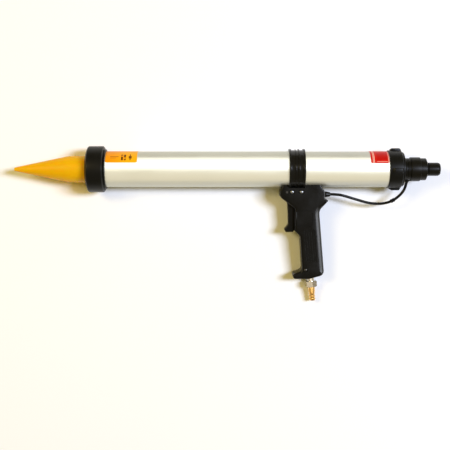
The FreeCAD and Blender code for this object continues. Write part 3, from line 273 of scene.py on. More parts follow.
def rounded(corners, closed=True):
    """An outline whose corners, (x, y) or (x, y, radius), are turned into arcs.

    An arc takes less than half of either side, so a radius that is too large for its corner shrinks.
    """
    places = [Vector(corner[:2]) for corner in corners]
    outline = []
    for number, corner in enumerate(corners):
        here = places[number]
        if len(corner) < 3 or not closed and number in (0, len(corners) - 1):
            outline.append(here)
            continue
        back = places[number - 1] - here
        ahead = places[(number + 1) % len(corners)] - here
        half = back.angle(ahead) / 2
        reach = min(corner[2] / math.tan(half), 0.48 * back.length, 0.48 * ahead.length)
        radius = reach * math.tan(half)
        centre = here + (back.normalized() + ahead.normalized()).normalized() * radius / math.sin(half)
        start = here + back.normalized() * reach - centre
        end = here + ahead.normalized() * reach - centre
        sweep = math.atan2(start.x * end.y - start.y * end.x, start.dot(end))
        steps = max(2, math.ceil(abs(sweep) / ARC_STEP))
        outline += [centre + Matrix.Rotation(sweep * step / steps, 2) @ start for step in range(steps + 1)]
    return outline


def spaced(outline, gap):
    """The same closed outline with no two points further apart than gap."""
    points = []
    for start, end in zip(outline, outline[1:] + outline[:1]):
        steps = max(1, math.ceil((end - start).length / gap))
        points += [start.lerp(end, step / steps) for step in range(steps)]
    return points


def turned(profile, sides=128, closed=True, start=0.0, sweep=360.0):
    """A body turned about X through (x, radius) points; an open profile runs from the axis back to it."""
    shape = bmesh.new()
    whole = sweep == 360.0
    angles = [math.radians(start + sweep * side / sides) for side in range(sides if whole else sides + 1)]
    rings = []
    for x, radius in profile:
        around = angles if radius > 1e-6 else angles[:1]
        rings.append([
            shape.verts.new((x, radius * math.cos(angle), radius * math.sin(angle))) for angle in around
        ])
    pairs = list(zip(rings, rings[1:]))
    if closed:
        pairs.append((rings[-1], rings[0]))
    for first, second in pairs:
        for side in range(sides):
            corners = [
                first[side % len(first)], first[(side + 1) % len(first)],
                second[(side + 1) % len(second)], second[side % len(second)],
            ]
            corners = list(dict.fromkeys(corners))
            if len(corners) > 2:
                shape.faces.new(corners)
    if not whole:
        shape.faces.new([ring[0] for ring in rings])
        shape.faces.new([ring[-1] for ring in rings])
    bmesh.ops.recalc_face_normals(shape, faces=shape.faces)
    return shape


def prism(outline, low, high):
    """A straight block between two heights over an outline."""
    shape = bmesh.new()
    floor = [shape.verts.new((x, y, low)) for x, y in outline]
    roof = [shape.verts.new((x, y, high)) for x, y in outline]
    shape.faces.new(floor)
    shape.faces.new(roof)
    for number in range(len(outline)):
        after = (number + 1) % len(outline)
        shape.faces.new([floor[number], floor[after], roof[after], roof[number]])
    bmesh.ops.recalc_face_normals(shape, faces=shape.faces)
    return shape


def rod(start, end, radius, sides):
    """A plain cylinder along X."""
    return turned([(start, 0), (start, radius), (end, radius), (end, 0)], sides, closed=False)


def disc(x, y, radius, sides=48):
    """A regular outline round (x, y): a circle, or with six sides a hexagon."""
    angles = [math.tau * side / sides for side in range(sides)]
    return [(x + radius * math.cos(angle), y + radius * math.sin(angle)) for angle in angles]


def block(x_low, x_high, y_low, y_high, z_low, z_high):
    return prism([(x_low, y_low), (x_high, y_low), (x_high, y_high), (x_low, y_high)], z_low, z_high)


def inward(outline, number, distance):
    """A point of the outline moved into it along the bisector of its corner."""
    here = outline[number]
    back = (here - outline[number - 1]).normalized()
    ahead = (outline[(number + 1) % len(outline)] - here).normalized()
    normal = Vector((-back.y - ahead.y, back.x + ahead.x)).normalized()
    lean = normal.dot(Vector((-back.y, back.x)))
    return here + normal * distance / max(0.5, lean)


def depth_in(outline, points):
    """How far each point lies from the outline."""
    starts = np.array([tuple(corner) for corner in outline])
    sides = np.roll(starts, -1, 0) - starts
    away = np.array([tuple(point) for point in points])[:, None] - starts
    share = np.clip((away * sides).sum(2) / (sides * sides).sum(1), 0, 1)
    return np.sqrt(((away - share[..., None] * sides) ** 2).sum(2)).min(1)


def plate(outline, low, high, rim, islands=(), both=False, steps=6):
    """A plate over an outline, its upper edge rounded; rim gives the round's radius at a point.

    islands are raised or sunk fields: lists of (closed loop, height) from the outside in. With both, the
    underside is the mirror of the top about Z = 0, and low isn't used.
    """
    radii = [rim(point) for point in outline]
    points, heights, edges = [], [], []

    def loop(path, levels):
        first = len(points)
        points.extend(path)
        heights.extend(levels)
        edges.extend((first + number, first + (number + 1) % len(path)) for number in range(len(path)))

    loop(outline, [high - radius for radius in radii])
    # the round's inner rows, without the points that fall closer to another stretch of the outline
    slack = 0.02
    for step in range(1, steps + 1):
        turn = math.pi / 2 * step / steps
        shift = [radius * (1 - math.cos(turn)) for radius in radii]
        row = [inward(outline, number, distance) for number, distance in enumerate(shift)]
        kept = depth_in(outline, row) > np.array(shift) - slack
        for number in np.flatnonzero(kept):
            points.append(row[number])
            heights.append(high - radii[number] * (1 - math.sin(turn)))
    for island in islands:
        for path, height in island:
            loop(path, [height] * len(path))
    count = len(outline)
    found, _, faces, origin, _, _ = delaunay_2d_cdt(points, edges, [list(range(count))], 1, 1e-5)
    level = [heights[sources[0]] if sources else high for sources in origin]
    place = {source: number for number, sources in enumerate(origin) for source in sources}
    border = [place[number] for number in range(count)]
    shape = bmesh.new()
    top = [shape.verts.new((*point, z)) for point, z in zip(found, level)]
    for face in faces:
        shape.faces.new([top[number] for number in face])
    upper = [top[number] for number in border]
    if both:
        under = [shape.verts.new((*point, -z)) for point, z in zip(found, level)]
        for face in faces:
            shape.faces.new([under[number] for number in reversed(face)])
        lower = [under[number] for number in border]
    else:
        bevel = 0.4
        middle = [shape.verts.new((*point, low + bevel)) for point in outline]
        lower = [shape.verts.new((*inward(outline, number, bevel), low)) for number in range(count)]
        shape.faces.new(lower)
    for number in range(count):
        after = (number + 1) % count
        if both:
            shape.faces.new([upper[number], lower[number], lower[after], upper[after]])
        else:
            shape.faces.new([upper[number], middle[number], middle[after], upper[after]])
            shape.faces.new([middle[number], lower[number], lower[after], middle[after]])
    bmesh.ops.recalc_face_normals(shape, faces=shape.faces)
    return shape


def loose(shape):
    """A helper object that holds a shape for a modifier."""
    mesh = bpy.data.meshes.new("helper")
    shape.to_mesh(mesh)
    holder = bpy.data.objects.new("helper", mesh)
    SCENE.collection.objects.link(holder)
    return holder


def evaluated(holder, helpers=()):
    """The holder's shape with its modifiers applied; the holder and its helpers go."""
    graph = bpy.context.evaluated_depsgraph_get()
    mesh = bpy.data.meshes.new_from_object(holder.evaluated_get(graph))
    shape = bmesh.new()
    shape.from_mesh(mesh)
    for helper in (holder, *helpers):
        bpy.data.objects.remove(helper)
    return shape


def combined(shape, others, operation="DIFFERENCE"):
    """A shape with others cut out of it or joined to it."""
    holder = loose(shape)
    helpers = [loose(other) for other in others]
    for helper in helpers:
        step = holder.modifiers.new("step", "BOOLEAN")
        step.solver = "EXACT"
        step.operation = operation
        step.object = helper
    return evaluated(holder, helpers)


def moved(shape, matrix):
    shape.transform(matrix)
    return shape


def finish(name, shape, material, nodes, crease=32.0, body="gun"):
    """A finished piece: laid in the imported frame, smooth between its edges, in place of its CAD nodes.

    crease is the angle in degrees from which an edge stays sharp. The first two steps close the hair cracks
    that a boolean can leave.
    """
    bmesh.ops.remove_doubles(shape, verts=shape.verts, dist=0.005)
    bmesh.ops.holes_fill(shape, edges=[edge for edge in shape.edges if edge.is_boundary], sides=6)
    bmesh.ops.recalc_face_normals(shape, faces=shape.faces)
    mesh = bpy.data.meshes.new(name)
    shape.to_mesh(mesh)
    mesh.transform(GUN)
    mesh.materials.clear()
    mesh.materials.append(material)
    mesh.shade_smooth()
    mesh.set_sharp_from_angle(angle=math.radians(crease))
    piece = bpy.data.objects.new(name, mesh)
    SCENE.collection.objects.link(piece)
    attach(piece, body)
    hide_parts(*nodes)
    return piece


# -------------------- geometry trees for what repeats


def new_tree(name, sockets):
    """An empty geometry tree with named inputs, and its input sockets."""
    tree = bpy.data.node_groups.new(name, "GeometryNodeTree")
    tree.interface.new_socket("Geometry", in_out="OUTPUT", socket_type="NodeSocketGeometry")
    for label, kind in sockets.items():
        tree.interface.new_socket(label, in_out="INPUT", socket_type=f"NodeSocket{kind}")
    return tree, add(tree, "NodeGroupInput").outputs


def end_tree(tree, shape, material):
    """Realize Instances and Set Material, then the tree's output."""
    real = add(tree, "GeometryNodeRealizeInstances", {0: shape})
    dressed = add(tree, "GeometryNodeSetMaterial", {"Geometry": real.outputs[0], "Material": material})
    output = add(tree, "NodeGroupOutput")
    tree.links.new(dressed.outputs[0], output.inputs[0])


def row_tree():
    """Copies of an item set in a row or round X, joined to a body."""
    tree, given = new_tree("row_on_body", {
        "Body": "Object", "Item": "Object", "Count": "Int", "Step": "Vector", "Turn": "Float",
        "Material": "Material",
    })
    line = add(tree, "GeometryNodeMeshLine", {"Count": given["Count"], "Offset": given["Step"]})
    number = add(tree, "GeometryNodeInputIndex")
    turn = add(tree, "ShaderNodeCombineXYZ", {"X": maths(tree, "MULTIPLY", number.outputs[0], given["Turn"])})
    item = add(tree, "GeometryNodeObjectInfo", {"Object": given["Item"]})
    copies = add(tree, "GeometryNodeInstanceOnPoints", {
        "Points": line.outputs[0], "Instance": item.outputs["Geometry"], "Rotation": turn.outputs[0],
    })
    real = add(tree, "GeometryNodeRealizeInstances", {0: copies.outputs[0]})
    body = add(tree, "GeometryNodeObjectInfo", {"Object": given["Body"]})
    joined = {"operation": "UNION", "solver": "EXACT"}
    whole = add(tree, "GeometryNodeMeshBoolean", {"Mesh 2": real.outputs[0]}, **joined)
    tree.links.new(body.outputs["Geometry"], whole.inputs["Mesh 2"])
    end_tree(tree, whole.outputs[0], given["Material"])
    return tree


def coil_tree(name, section, sizes, **settings):
    """A section wound round X: a thread's ridge or a spring's wire. sizes maps its sockets to inputs."""
    tree, given = new_tree(name, {
        "Turns": "Float", "Radius": "Float", "Length": "Float", "Start": "Float", "Material": "Material",
        **{label: "Float" for label in sizes.values()},
    })
    wound = add(tree, "GeometryNodeCurveSpiral", {
        "Resolution": 64, "Rotations": given["Turns"], "Start Radius": given["Radius"],
        "End Radius": given["Radius"], "Height": given["Length"],
    })
    upright = add(tree, "GeometryNodeSetCurveNormal", {0: wound.outputs[0]}, mode="Z_UP")
    profile = add(tree, section, {socket: given[label] for socket, label in sizes.items()}, **settings)
    swept = add(tree, "GeometryNodeCurveToMesh", {
        "Curve": upright.outputs[0], "Profile Curve": profile.outputs[0], "Fill Caps": True,
    })
    shift = add(tree, "ShaderNodeCombineXYZ", {"X": given["Start"]})
    laid = add(tree, "GeometryNodeTransform", {
        "Geometry": swept.outputs[0], "Translation": shift.outputs[0], "Rotation": (0, math.pi / 2, 0),
    })
    end_tree(tree, laid.outputs[0], given["Material"])
    return tree


def grown(tree, settings, helpers=()):
    """The plain shape that a geometry tree makes with these settings."""
    holder = loose(bmesh.new())
    maker = holder.modifiers.new("maker", "NODES")
    maker.node_group = tree
    for socket in tree.interface.items_tree:
        if socket.in_out == "INPUT":
            maker[socket.identifier] = settings[socket.name]
    return evaluated(holder, helpers)


def in_row(body, item, count, material, step=0.0, turn=0.0):
    """A body joined to copies of an item, each a step further along X and turned about X by one more turn."""
    helpers = [loose(body), loose(item)]
    return grown(row_tree(), {
        "Body": helpers[0], "Item": helpers[1], "Count": count, "Step": (step, 0.0, 0.0), "Turn": turn,
        "Material": material,
    }, helpers)


# -------------------- barrel, ring, nozzle and rear cap


def from_rear(corners):
    """Corners given from the barrel's rear face, moved there."""
    return [(LENGTH + x, *rest) for x, *rest in corners]


def make_barrel(looks):
    tube = turned(rounded([(0, BORE, 0.3), (LENGTH, BORE, 0.3), (LENGTH, TUBE, 0.4), (0, TUBE, 0.4)]), 192)
    return finish("barrel", tube, looks["anodised_aluminium"], ["barrel_tube"])


def make_collar(looks):
    """The threaded collar: a plain sleeve with a flat-topped ridge wound round it."""
    core = turned(rounded([
        (0, SEAT), (19.5, SEAT), (19.5, 28.4, 0.6), (17.4, 28.4, 0.2), (16.8, 26.9, 0.2), (0, 26.9, 0.4),
    ]), 160)
    tree = coil_tree("wound_ridge", "GeometryNodeCurvePrimitiveQuadrilateral", {
        "Height": "Height", "Bottom Width": "Base", "Top Width": "Crest",
    }, mode="TRAPEZOID")
    turns, pitch = 3.6, 4
    ridge = grown(tree, {
        "Turns": turns, "Radius": 27.1, "Length": turns * pitch, "Base": 2.4, "Crest": 1.4, "Height": 1.1,
        "Start": 1.3, "Material": looks["black_nylon"],
    })
    finish("threaded_collar", combined(core, [ridge], "UNION"), looks["black_nylon"], ["barrel_collar"])


def make_ring(looks):
    """The screw ring that holds the nozzle's flange: crowned at the front, bevelled at the back."""
    profile = rounded([
        (-10.2, 19.3, 0.7), (-9.2, 24.5, 6), (-5.8, 33, 2.4), (15.4, 33, 0.8), (17, 30.6, 0.8),
        (17, 27.78, 0.4), (-PLAY, 27.78), (-PLAY, 26.3), (-5.55, 26.3), (-5.55, 19.3, 0.4),
    ])
    finish("front_ring", turned(profile, 192), looks["black_nylon"], ["front_ring"], body="front_ring")


def make_nozzle(looks):
    """A thin moulded cone with a flange, hollow all the way."""
    outer = [(-5.5, 26, 0.5), (-5.5, 19, 0.6), (-34, 19, 60), (-112.3, 2.5, 0.3)]
    inner = [(-112.3, 1.5, 0.2), (-106.3, 1.5, 2), (-34, 17.4, 58), (0, 17.4, 0.4), (0, 26, 0.5)]
    cone = turned(rounded(outer + inner), 160)
    finish("nozzle_cone", cone, looks["amber_polyethylene"], ["nozzle"], body="nozzle")


def make_rear_cap(looks):
    """The screwed cap with four lugs for a hook spanner."""
    core = turned(rounded(from_rear([
        (-14.5, SEAT, 0.2), (-14.5, 27, 0.7), (4.5, 27, 1.6), (5.5, 24.4, 0.8), (8, 24.4, 1.2),
        (9.5, 15.8, 0.4), (9.5, 7.05), (-PLAY, 7.05), (-PLAY, 19.95), (-10, 19.95, 0.3), (-10, 23.95, 0.3),
        (-6.05, 23.95), (-6.05, 21.9), (-3.95, 21.9), (-3.95, 23.95), (PLAY, 23.95), (PLAY, SEAT),
    ])), 160)
    side = rounded(from_rear([
        (-11.5, 24), (-11.5, 28, 2), (-8, 30, 2.5), (2.6, 30, 2.2), (4.5, 27.6, 1.2), (4.5, 24),
    ]))
    lug = prism(side, -3.5, 3.5)
    soften_edges(lug, 0.9)
    whole = in_row(core, lug, 4, looks["black_nylon"], turn=math.pi / 2)
    finish("end_cap", whole, looks["black_nylon"], ["rear_cap"])


def soften_edges(shape, width):
    """Round the sharp edges of a small block."""
    steep = math.radians(50)
    sharp = [edge for edge in shape.edges if edge.is_manifold and edge.calc_face_angle() > steep]
    settings = {"segments": 3, "profile": 0.5, "affect": "EDGES", "clamp_overlap": True}
    bmesh.ops.bevel(shape, geom=sharp, offset=width, **settings)


# -------------------- band clamp


def make_clamp(looks):
    """The split band: a thin web between raised ridges, with two ears that the screws pull together."""
    front, rear = BAND
    web, edge = 27.3, 29
    section = rounded([
        (front, SEAT), (rear, SEAT), (rear, edge, 0.6), (rear - 3.2, edge, 0.6), (rear - 3.2, web, 0.3),
        (294.4, web, 0.3), (294.2, 28.8, 0.4), (292.4, 28.8, 0.4), (292.2, web, 0.3),
        (289.6, web, 0.3), (289.4, 28.3, 0.3), (288.2, 28.3, 0.3), (288, web, 0.3),
        (front + 3.2, web, 0.3), (front + 3.2, edge, 0.6), (front, edge, 0.6),
    ])
    gap, ear = 2, 3.5  # half the slit between the ears, and how thick an ear is
    slit = math.degrees(math.asin(gap / 27))
    band = turned(section, 144, start=180 + slit, sweep=360 - 2 * slit)
    ears = [block(281, 301, -37.8, -25.8, low, low + ear) for low in (gap, -gap - ear)]
    holes = [prism(disc(*place, HOLE), -8, 8) for place in EAR_SCREWS]
    whole = combined(combined(band, ears, "UNION"), holes)
    finish("band_clamp", whole, looks["polished_nylon"], ["clamp_band"])


# -------------------- handle

# The handle's side view, each corner with its radius, and the hollow inside it.
HANDLE = [
    (273, -12.75), (267, -29, 12), (267, -39, 8), (288.4, -55, 4), (288.4, -88, 4), (296.3, -95, 6),
    (299.8, -145.4, 6), (286, -150.4, 3.2), (287.4, -157.5, 4.5), (309, -157.5), (332, -151.8, 8),
    (323.8, -59, 12), (336.2, -43.8, 1.2), (331, -41, 0.8), (331, -30.5, 3), (325.8, -24, 3), (324, -12.75),
]
CAVITY = [
    (275.6, 0), (269.6, -29), (269.6, -36.4), (291, -51.1), (291, -85.4), (299.55, -95), (303.4, -139),
    (303.4, -154), (308, -154), (329.4, -147.3), (321.2, -59), (328.4, -43.8), (328.4, -29), (322.4, 0),
]
RAKE = 5  # degrees that the grip leans back
INLET = Matrix.Translation((313.2, -157, 0)) @ Matrix.Rotation(math.radians(RAKE - 90), 4, "Z")


def grip_round(point):
    """The rim's radius: 3 mm in front, 1.5 mm at the rear of the head, 7.5 mm down the back of the grip."""

    def ramp(value):
        return min(max(value, 0), 1)

    along = ramp((-point.y - 47) / 9) * ramp((158 + point.y) / 14)
    return 3 + ramp((point.x - 308) / 8) * (6 * along - 1.5)


def field(corners, levels):
    """A raised or sunk field: its loop at each (inset, height)."""
    outline = rounded(corners)
    count = len(outline)
    return [([inward(outline, number, inset) for number in range(count)], height) for inset, height in levels]


def ribbed_shell(looks):
    """The outside of a handle half: a rounded plate with a framed panel and five ribs on the grip."""
    panel = field(
        [(290, -80.5, 2), (313.6, -80.5, 2), (313, -58, 2), (290.4, -58, 2)],
        [(0, SIDE), (0.25, SIDE - 0.3), (0.7, SIDE - 0.3), (0.95, SIDE - 0.05), (1.3, SIDE - 0.05)],
    )
    shell = plate(spaced(rounded(HANDLE), 2.2), 0, SIDE, grip_round, [panel])
    rib_side = rounded([(-0.75, -46, 0.7), (0.75, -46, 0.7), (0.75, 0, 0.7), (-0.75, 0, 0.7)])
    rib = plate(spaced(rib_side, 4), SIDE - 0.05, SIDE + 0.55, lambda point: 0.55)
    rib = moved(rib, Matrix.Translation((302.4, -86, 0)) @ Matrix.Rotation(math.radians(RAKE), 4, "Z"))
    return in_row(shell, rib, 5, looks["black_abs"], step=3.4)


def make_shell(left, looks):
    """One half of the handle: rounded outside, hollow inside, with seats for the screws.

    The right half is made like the left one, but with pockets for nuts, and then mirrored.
    """
    inner = SIDE - 2.6  # where the side wall begins
    cuts = [
        prism(CAVITY, -1, inner),
        rod(240, 360, SEAT, 96),
        rod(BAND[0] - 0.3, BAND[1] + 0.3, 29.3, 96),
        block(272.6, 298, -92.5, -31.8, -1, 6.5),
        moved(rod(-7, 5, 5.05, 48), INLET),
        moved(rod(327, 333, 2.55, 32), Matrix.Translation((0, HOSE_Y, 0))),
    ]
    seats = [*((place, 3, 5.6) for place in EAR_SCREWS), (PIN, 3.2, 6.1), (FOOT_SCREW, 4, PLAY)]
    bosses = [prism(disc(*place, radius, 24), low, SIDE - 1.5) for place, radius, low in seats]
    holes = [prism(disc(*place, HOLE, 32), -1, SIDE + 1) for place in (*EAR_SCREWS, PIN)]
    holes.append(prism(disc(*FOOT_SCREW, HOLE, 32), -1, SIDE + 1 if left else inner))
    if left:
        holes += [prism(disc(*place, 3.05), SIDE - 2.05, SIDE + 1) for place in (*EAR_SCREWS, FOOT_SCREW)]
    else:
        holes += [prism(disc(*place, 3.27, 6), SIDE - 2.45, SIDE + 1) for place in EAR_SCREWS]
    shell = combined(combined(combined(ribbed_shell(looks), cuts), bosses, "UNION"), holes)
    if not left:
        shell = moved(shell, Matrix.Diagonal((1, 1, -1, 1)))
        bmesh.ops.reverse_faces(shell, faces=shell.faces)
    name = "left" if left else "right"
    return finish(f"handle_shell_{name}", shell, looks["black_abs"], [f"handle_{name}"], crease=28.0)


def make_trigger(looks):
    """A finger lever with a hooked end, hung on a pin through its eye."""
    x, y = PIN
    radius = 3.4
    angles = np.linspace(0, math.pi, 13)[1:-1]
    eye = [Vector((x + radius * math.cos(angle), y + radius * math.sin(angle))) for angle in angles]
    outline = rounded([
        (x - radius, y), (274.2, -40.5, 8), (278.6, -50, 10), (279.4, -79, 5), (274, -85.5, 1),
        (275.6, -90.4, 2), (288, -90, 4), (290, -79, 6), (290, -49, 4), (279.8, -39.3, 3), (279.8, y),
    ])
    blade = plate(spaced(outline + eye, 1.6), 0, 6, lambda point: 1.8, both=True)
    hole = prism(disc(x, y, HOLE, 32), -8, 8)
    lever = combined(blade, [hole])
    finish("trigger_lever", lever, looks["black_abs"], ["trigger"], crease=40.0, body="trigger")


# -------------------- screws


def screw(length):
    """A cheese-head screw with a cross recess, its head's top at the handle's side."""
    bottom, seat = SIDE - length, SIDE - 2
    profile = rounded([
        (bottom, 0), (bottom, 1.5, 0.3), (seat, 1.5), (seat, 2.75, 0.2), (seat + 0.7, 2.75, 0.4),
        (SIDE - 0.4, 2.0, 1.6), (SIDE, 0.7, 1.2), (SIDE, 0),
    ], False)
    solid = moved(turned(profile, 40, closed=False), Matrix.Rotation(-math.pi / 2, 4, "Y"))
    long, wide = 2.0, 0.35
    cross = [block(-x, x, -y, y, SIDE - 1.1, SIDE + 1) for x, y in ((long, wide), (wide, long))]
    return combined(solid, cross)


def make_screws(looks):
    """Two screws through the clamp's ears, one in the grip's foot."""
    first, second = EAR_SCREWS
    one = moved(screw(25.6), Matrix.Translation((*first, 0)))
    # the row's first copy lies on the body, so two copies make two screws
    both = in_row(one, one, 2, looks["zinc_steel"], step=second[0] - first[0])
    finish("cross_screws", both, looks["zinc_steel"], ["clamp_screws"])
    single = moved(screw(22.8), Matrix.Translation((*FOOT_SCREW, 0)))
    finish("foot_screw", single, looks["oiled_steel"], ["grip_screw"])


# -------------------- air inlet


def make_inlet(looks):
    """A nickel-plated hexagon and, screwed into it, the barbed brass nipple."""
    flat = 7.5  # half the width across flats
    corner = flat / math.cos(math.pi / 6)
    turn = Matrix.Rotation(math.pi / 2, 4, "Y") @ Matrix.Rotation(math.radians(-10), 4, "Z")
    hexagon = moved(prism(disc(0, 0, corner, 6), 5, 13.6), turn)
    chamfers = turned([
        (4.9, 0), (4.9, flat * 0.97), (5.6, corner), (12.6, corner), (13.7, flat * 0.96), (13.7, 0),
    ], 96, closed=False)
    hexagon = combined(hexagon, [chamfers], "INTERSECT")
    stem = turned(rounded([(-6, 0), (-6, 5, 0.3), (5.3, 5), (5.3, 0)], False), 64, closed=False)
    way = turned([(-7, 0), (-7, 2), (8.1, 2), (8.1, 3.55), (14, 3.55), (14, 0)], 48, closed=False)
    adapter = moved(combined(combined(hexagon, [stem], "UNION"), [way]), INLET)
    nut = finish("inlet_hexagon", adapter, looks["nickel_plate"], ["inlet_adapter"], 25.0)

    base, first, tip = 13.65, 21.65, 33.95  # the nipple's shoulder, where its barbs begin and its end
    crest, root, pitch = 4.75, 3.7, 4.1
    barbs = [(base, crest, 0.3), (first, crest, 0.2)]
    for number in range(3):
        start = first + pitch * number
        barbs += [(start, root, 0.2), (start + 0.3 * pitch, root, 0.2), (start + 0.3 * pitch, crest, 0.15)]
    profile = [(8.6, 2), (8.6, 3.5, 0.2), (base, 3.5), *barbs, (tip, root, 0.3), (tip, 2, 0.2)]
    nipple = moved(turned(rounded(profile), 96), INLET)
    return [nut, finish("hose_nipple", nipple, looks["turned_brass"], ["inlet_nipple"], 25.0)]


# -------------------- air hose

# The hose's route from the handle to the regulator, the same points as its solid's, in mm on the gun's axes.
HOSE_ROUTE = [
    (339.8, HOSE_Y, 0.0), (351.8, HOSE_Y, 0.0), (365.6, -39.9, -0.9), (382.0, -45.0, -2.0),
    (398.6, -49.6, -2.6), (414.8, -50.0, -2.4), (427.0, -47.0, -1.7), (436.4, -41.0, -0.9),
    (443.8, -33.2, -0.3), (447.6, -26.0, 0.0), PORT,
]
HOSE = 4  # its thickness


def hose_line(name, thickness):
    """A smooth curve on the hose's route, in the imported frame."""
    line = bpy.data.curves.new(name, "CURVE")
    line.dimensions = "3D"
    line.resolution_u = 10
    line.bevel_depth = thickness / 2
    line.bevel_resolution = 6
    line.use_fill_caps = True
    spline = line.splines.new("NURBS")
    spline.points.add(len(HOSE_ROUTE) - 1)
    for point, place in zip(spline.points, HOSE_ROUTE):
        point.co = (*(GUN @ Vector(place)), 1.0)
    spline.order_u = 3
    spline.use_endpoint_u = True
    hose = bpy.data.objects.new(name, line)
    SCENE.collection.objects.link(hose)
    return hose


def hose_path():
    """The points of the hose's middle line, and how far along it each one lies."""
    bare = hose_line("hose_route", 0.0)
    graph = bpy.context.evaluated_depsgraph_get()
    mesh = bpy.data.meshes.new_from_object(bare.evaluated_get(graph))
    path = [vertex.co.copy() for vertex in mesh.vertices]
    bpy.data.objects.remove(bare)
    reach = [0.0]
    for start, end in zip(path, path[1:]):
        reach.append(reach[-1] + (end - start).length)
    return path, reach


def make_sleeve(looks):
    """The crimped sleeve on the hose: a body turned about the hose's own line."""
    path, reach = hose_path()

    def at(distance):
        number = next(n for n in range(1, len(path)) if reach[n] >= distance or n == len(path) - 1)
        share = (distance - reach[number - 1]) / (reach[number] - reach[number - 1])
        return path[number - 1].lerp(path[number], share)

    length, sides = 6, 32
    section = rounded([
        (0, 2.02), (0, 2.7, 0.3), (2.4, 2.7, 0.2), (2.7, 2.4, 0.2), (3.3, 2.4, 0.2), (3.6, 2.7, 0.2),
        (length, 2.7, 0.3), (length, 2.02),
    ])
    start = 0.705 * reach[-1]  # how far along the hose it sits
    along = (at(start + length * MM) - at(start)).normalized()
    across = along.cross(Vector((0, 0, 1))).normalized()
    up = along.cross(across)
    angles = [math.tau * side / sides for side in range(sides)]
    spokes = [math.cos(angle) * across + math.sin(angle) * up for angle in angles]
    shape = bmesh.new()
    rings = []
    for x, radius in section:
        place = at(start + x * MM)
        rings.append([shape.verts.new(place + radius * MM * spoke) for spoke in spokes])
    for first, second in zip(rings, rings[1:] + rings[:1]):
        for side in range(sides):
            after = (side + 1) % sides
            shape.faces.new([first[side], first[after], second[after], second[side]])
    bmesh.ops.recalc_face_normals(shape, faces=shape.faces)
    shape = moved(shape, GUN.inverted())
    return finish("crimped_sleeve", shape, looks["nitrile_rubber"], ["hose_sleeve"])


def make_hose(looks):
    """The air hose with its sleeve, lying loose beside the barrel."""
    sleeve = make_sleeve(looks)
    hose = hose_line("air_line", HOSE * MM)
    hose.data.materials.append(looks["polyurethane"])
    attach(hose, "gun")
    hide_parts("air_hose")


def make_hose_ends(looks):
    """The tapered fitting on the handle and the port on the regulator."""
    fitting = turned(rounded([
        (323, 2.55), (323, 4.2, 0.3), (328.35, 4.2), (328.35, 2.5), (331.05, 2.5), (331.05, 4.2, 0.4),
        (334, 4.2, 0.8), (339.8, 2.9, 0.4), (339.8, 1.25), (325.95, 1.25), (325.95, 2.55),
    ]), 64)
    fitting = moved(fitting, Matrix.Translation((0, HOSE_Y, 0)))
    finish("hose_fitting_body", fitting, looks["black_abs"], ["hose_fitting"])
    lean = Matrix.Translation(PORT) @ Matrix.Rotation(math.radians(78), 4, "Z")
    port = turned(rounded([(0, 1.25), (0, 2.4, 0.2), (1, 3.1, 0.4), (8, 3.1), (8, 1.25)]), 48)
    finish("regulator_port", moved(port, lean), looks["black_acetal"], ["hose_port"])


# -------------------- pressure regulator


def make_regulator(looks):
    """Housing, cover, clamp ring and knob, each turned about the barrel's axis."""
    black = looks["black_acetal"]
    radius = 15.8  # of the housing and the cover
    housing = turned(rounded(from_rear([
        (1.5, 4.5), (1.5, 7, 0.3), (9.55, 7), (9.55, radius, 0.5), (12.6, radius, 0.3), (13.2, 15.3, 0.3),
        (13.8, radius, 0.3), (26.5, radius), (26.5, 11.8), (23.5, 11.8), (23.5, 2), (20.5, 2), (20.5, 4.5),
    ])), 128)
    finish("regulator_housing", housing, black, ["regulator_body"])
    cover = turned(rounded(from_rear([
        (26.55, 12.55), (26.55, radius), (40.3, radius, 0.6), (43.5, 9.5, 0.5), (43.5, 3.08), (39.5, 3.08),
        (39.5, 8.58), (27.8, 8.58), (27.8, 12.55),
    ])), 128)
    finish("regulator_cover", cover, black, ["regulator_bonnet"])
    band = turned(rounded(from_rear([
        (18.1, radius + PLAY), (18.1, 17.2, 1.2), (32, 17.2, 1.2), (32, radius + PLAY),
    ])), 128)
    finish("regulator_band", band, black, ["regulator_clamp_ring"])
    knob = turned(rounded(from_rear([
        (32.5, 0), (32.5, 3, 0.3), (44, 3), (44, 9.5, 0.5), (58.2, 9.5, 1.4), (61, 8.1, 1.2), (61, 0),
    ]), False), 96, closed=False)
    finish("adjusting_knob", knob, black, ["regulator_knob"], body="regulator_knob")


# -------------------- springs

# Each spring: its CAD node, its turns, how thick its wire is, the joint that presses it, and whether its
# rear end is the fixed one.
SPRINGS = [
    ("valve_spring", 5, 0.6, "valve_stem_travel", True),
    ("regulator_spring", 4, 1.6, "spring_seat_travel", False),
    ("regulator_valve_spring", 5, 0.6, "regulator_valve_lift", False),
]


def make_springs(looks):
    """Wire springs, each wound to the size of its CAD node and put in its place."""
    tree = coil_tree("wound_wire", "GeometryNodeCurvePrimitiveCircle", {"Radius": "Wire"}, mode="RADIUS")
    steel = looks["spring_steel"]
    for node, turns, wire, joint, fixed_behind in SPRINGS:
        low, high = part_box(node)
        size = high - low
        length = size.x / MM
        coil = grown(tree, {
            "Turns": float(turns), "Radius": size.y / MM / 2 - wire / 2, "Length": length - wire,
            "Start": wire / 2 - length / 2, "Material": steel, "Wire": wire / 2,
        })
        place = Matrix.Translation(GUN.inverted() @ ((low + high) / 2))
        spring = finish(node + "_wire", moved(coil, place), steel, [node], 60)
        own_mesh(spring)


# -------------------- labels


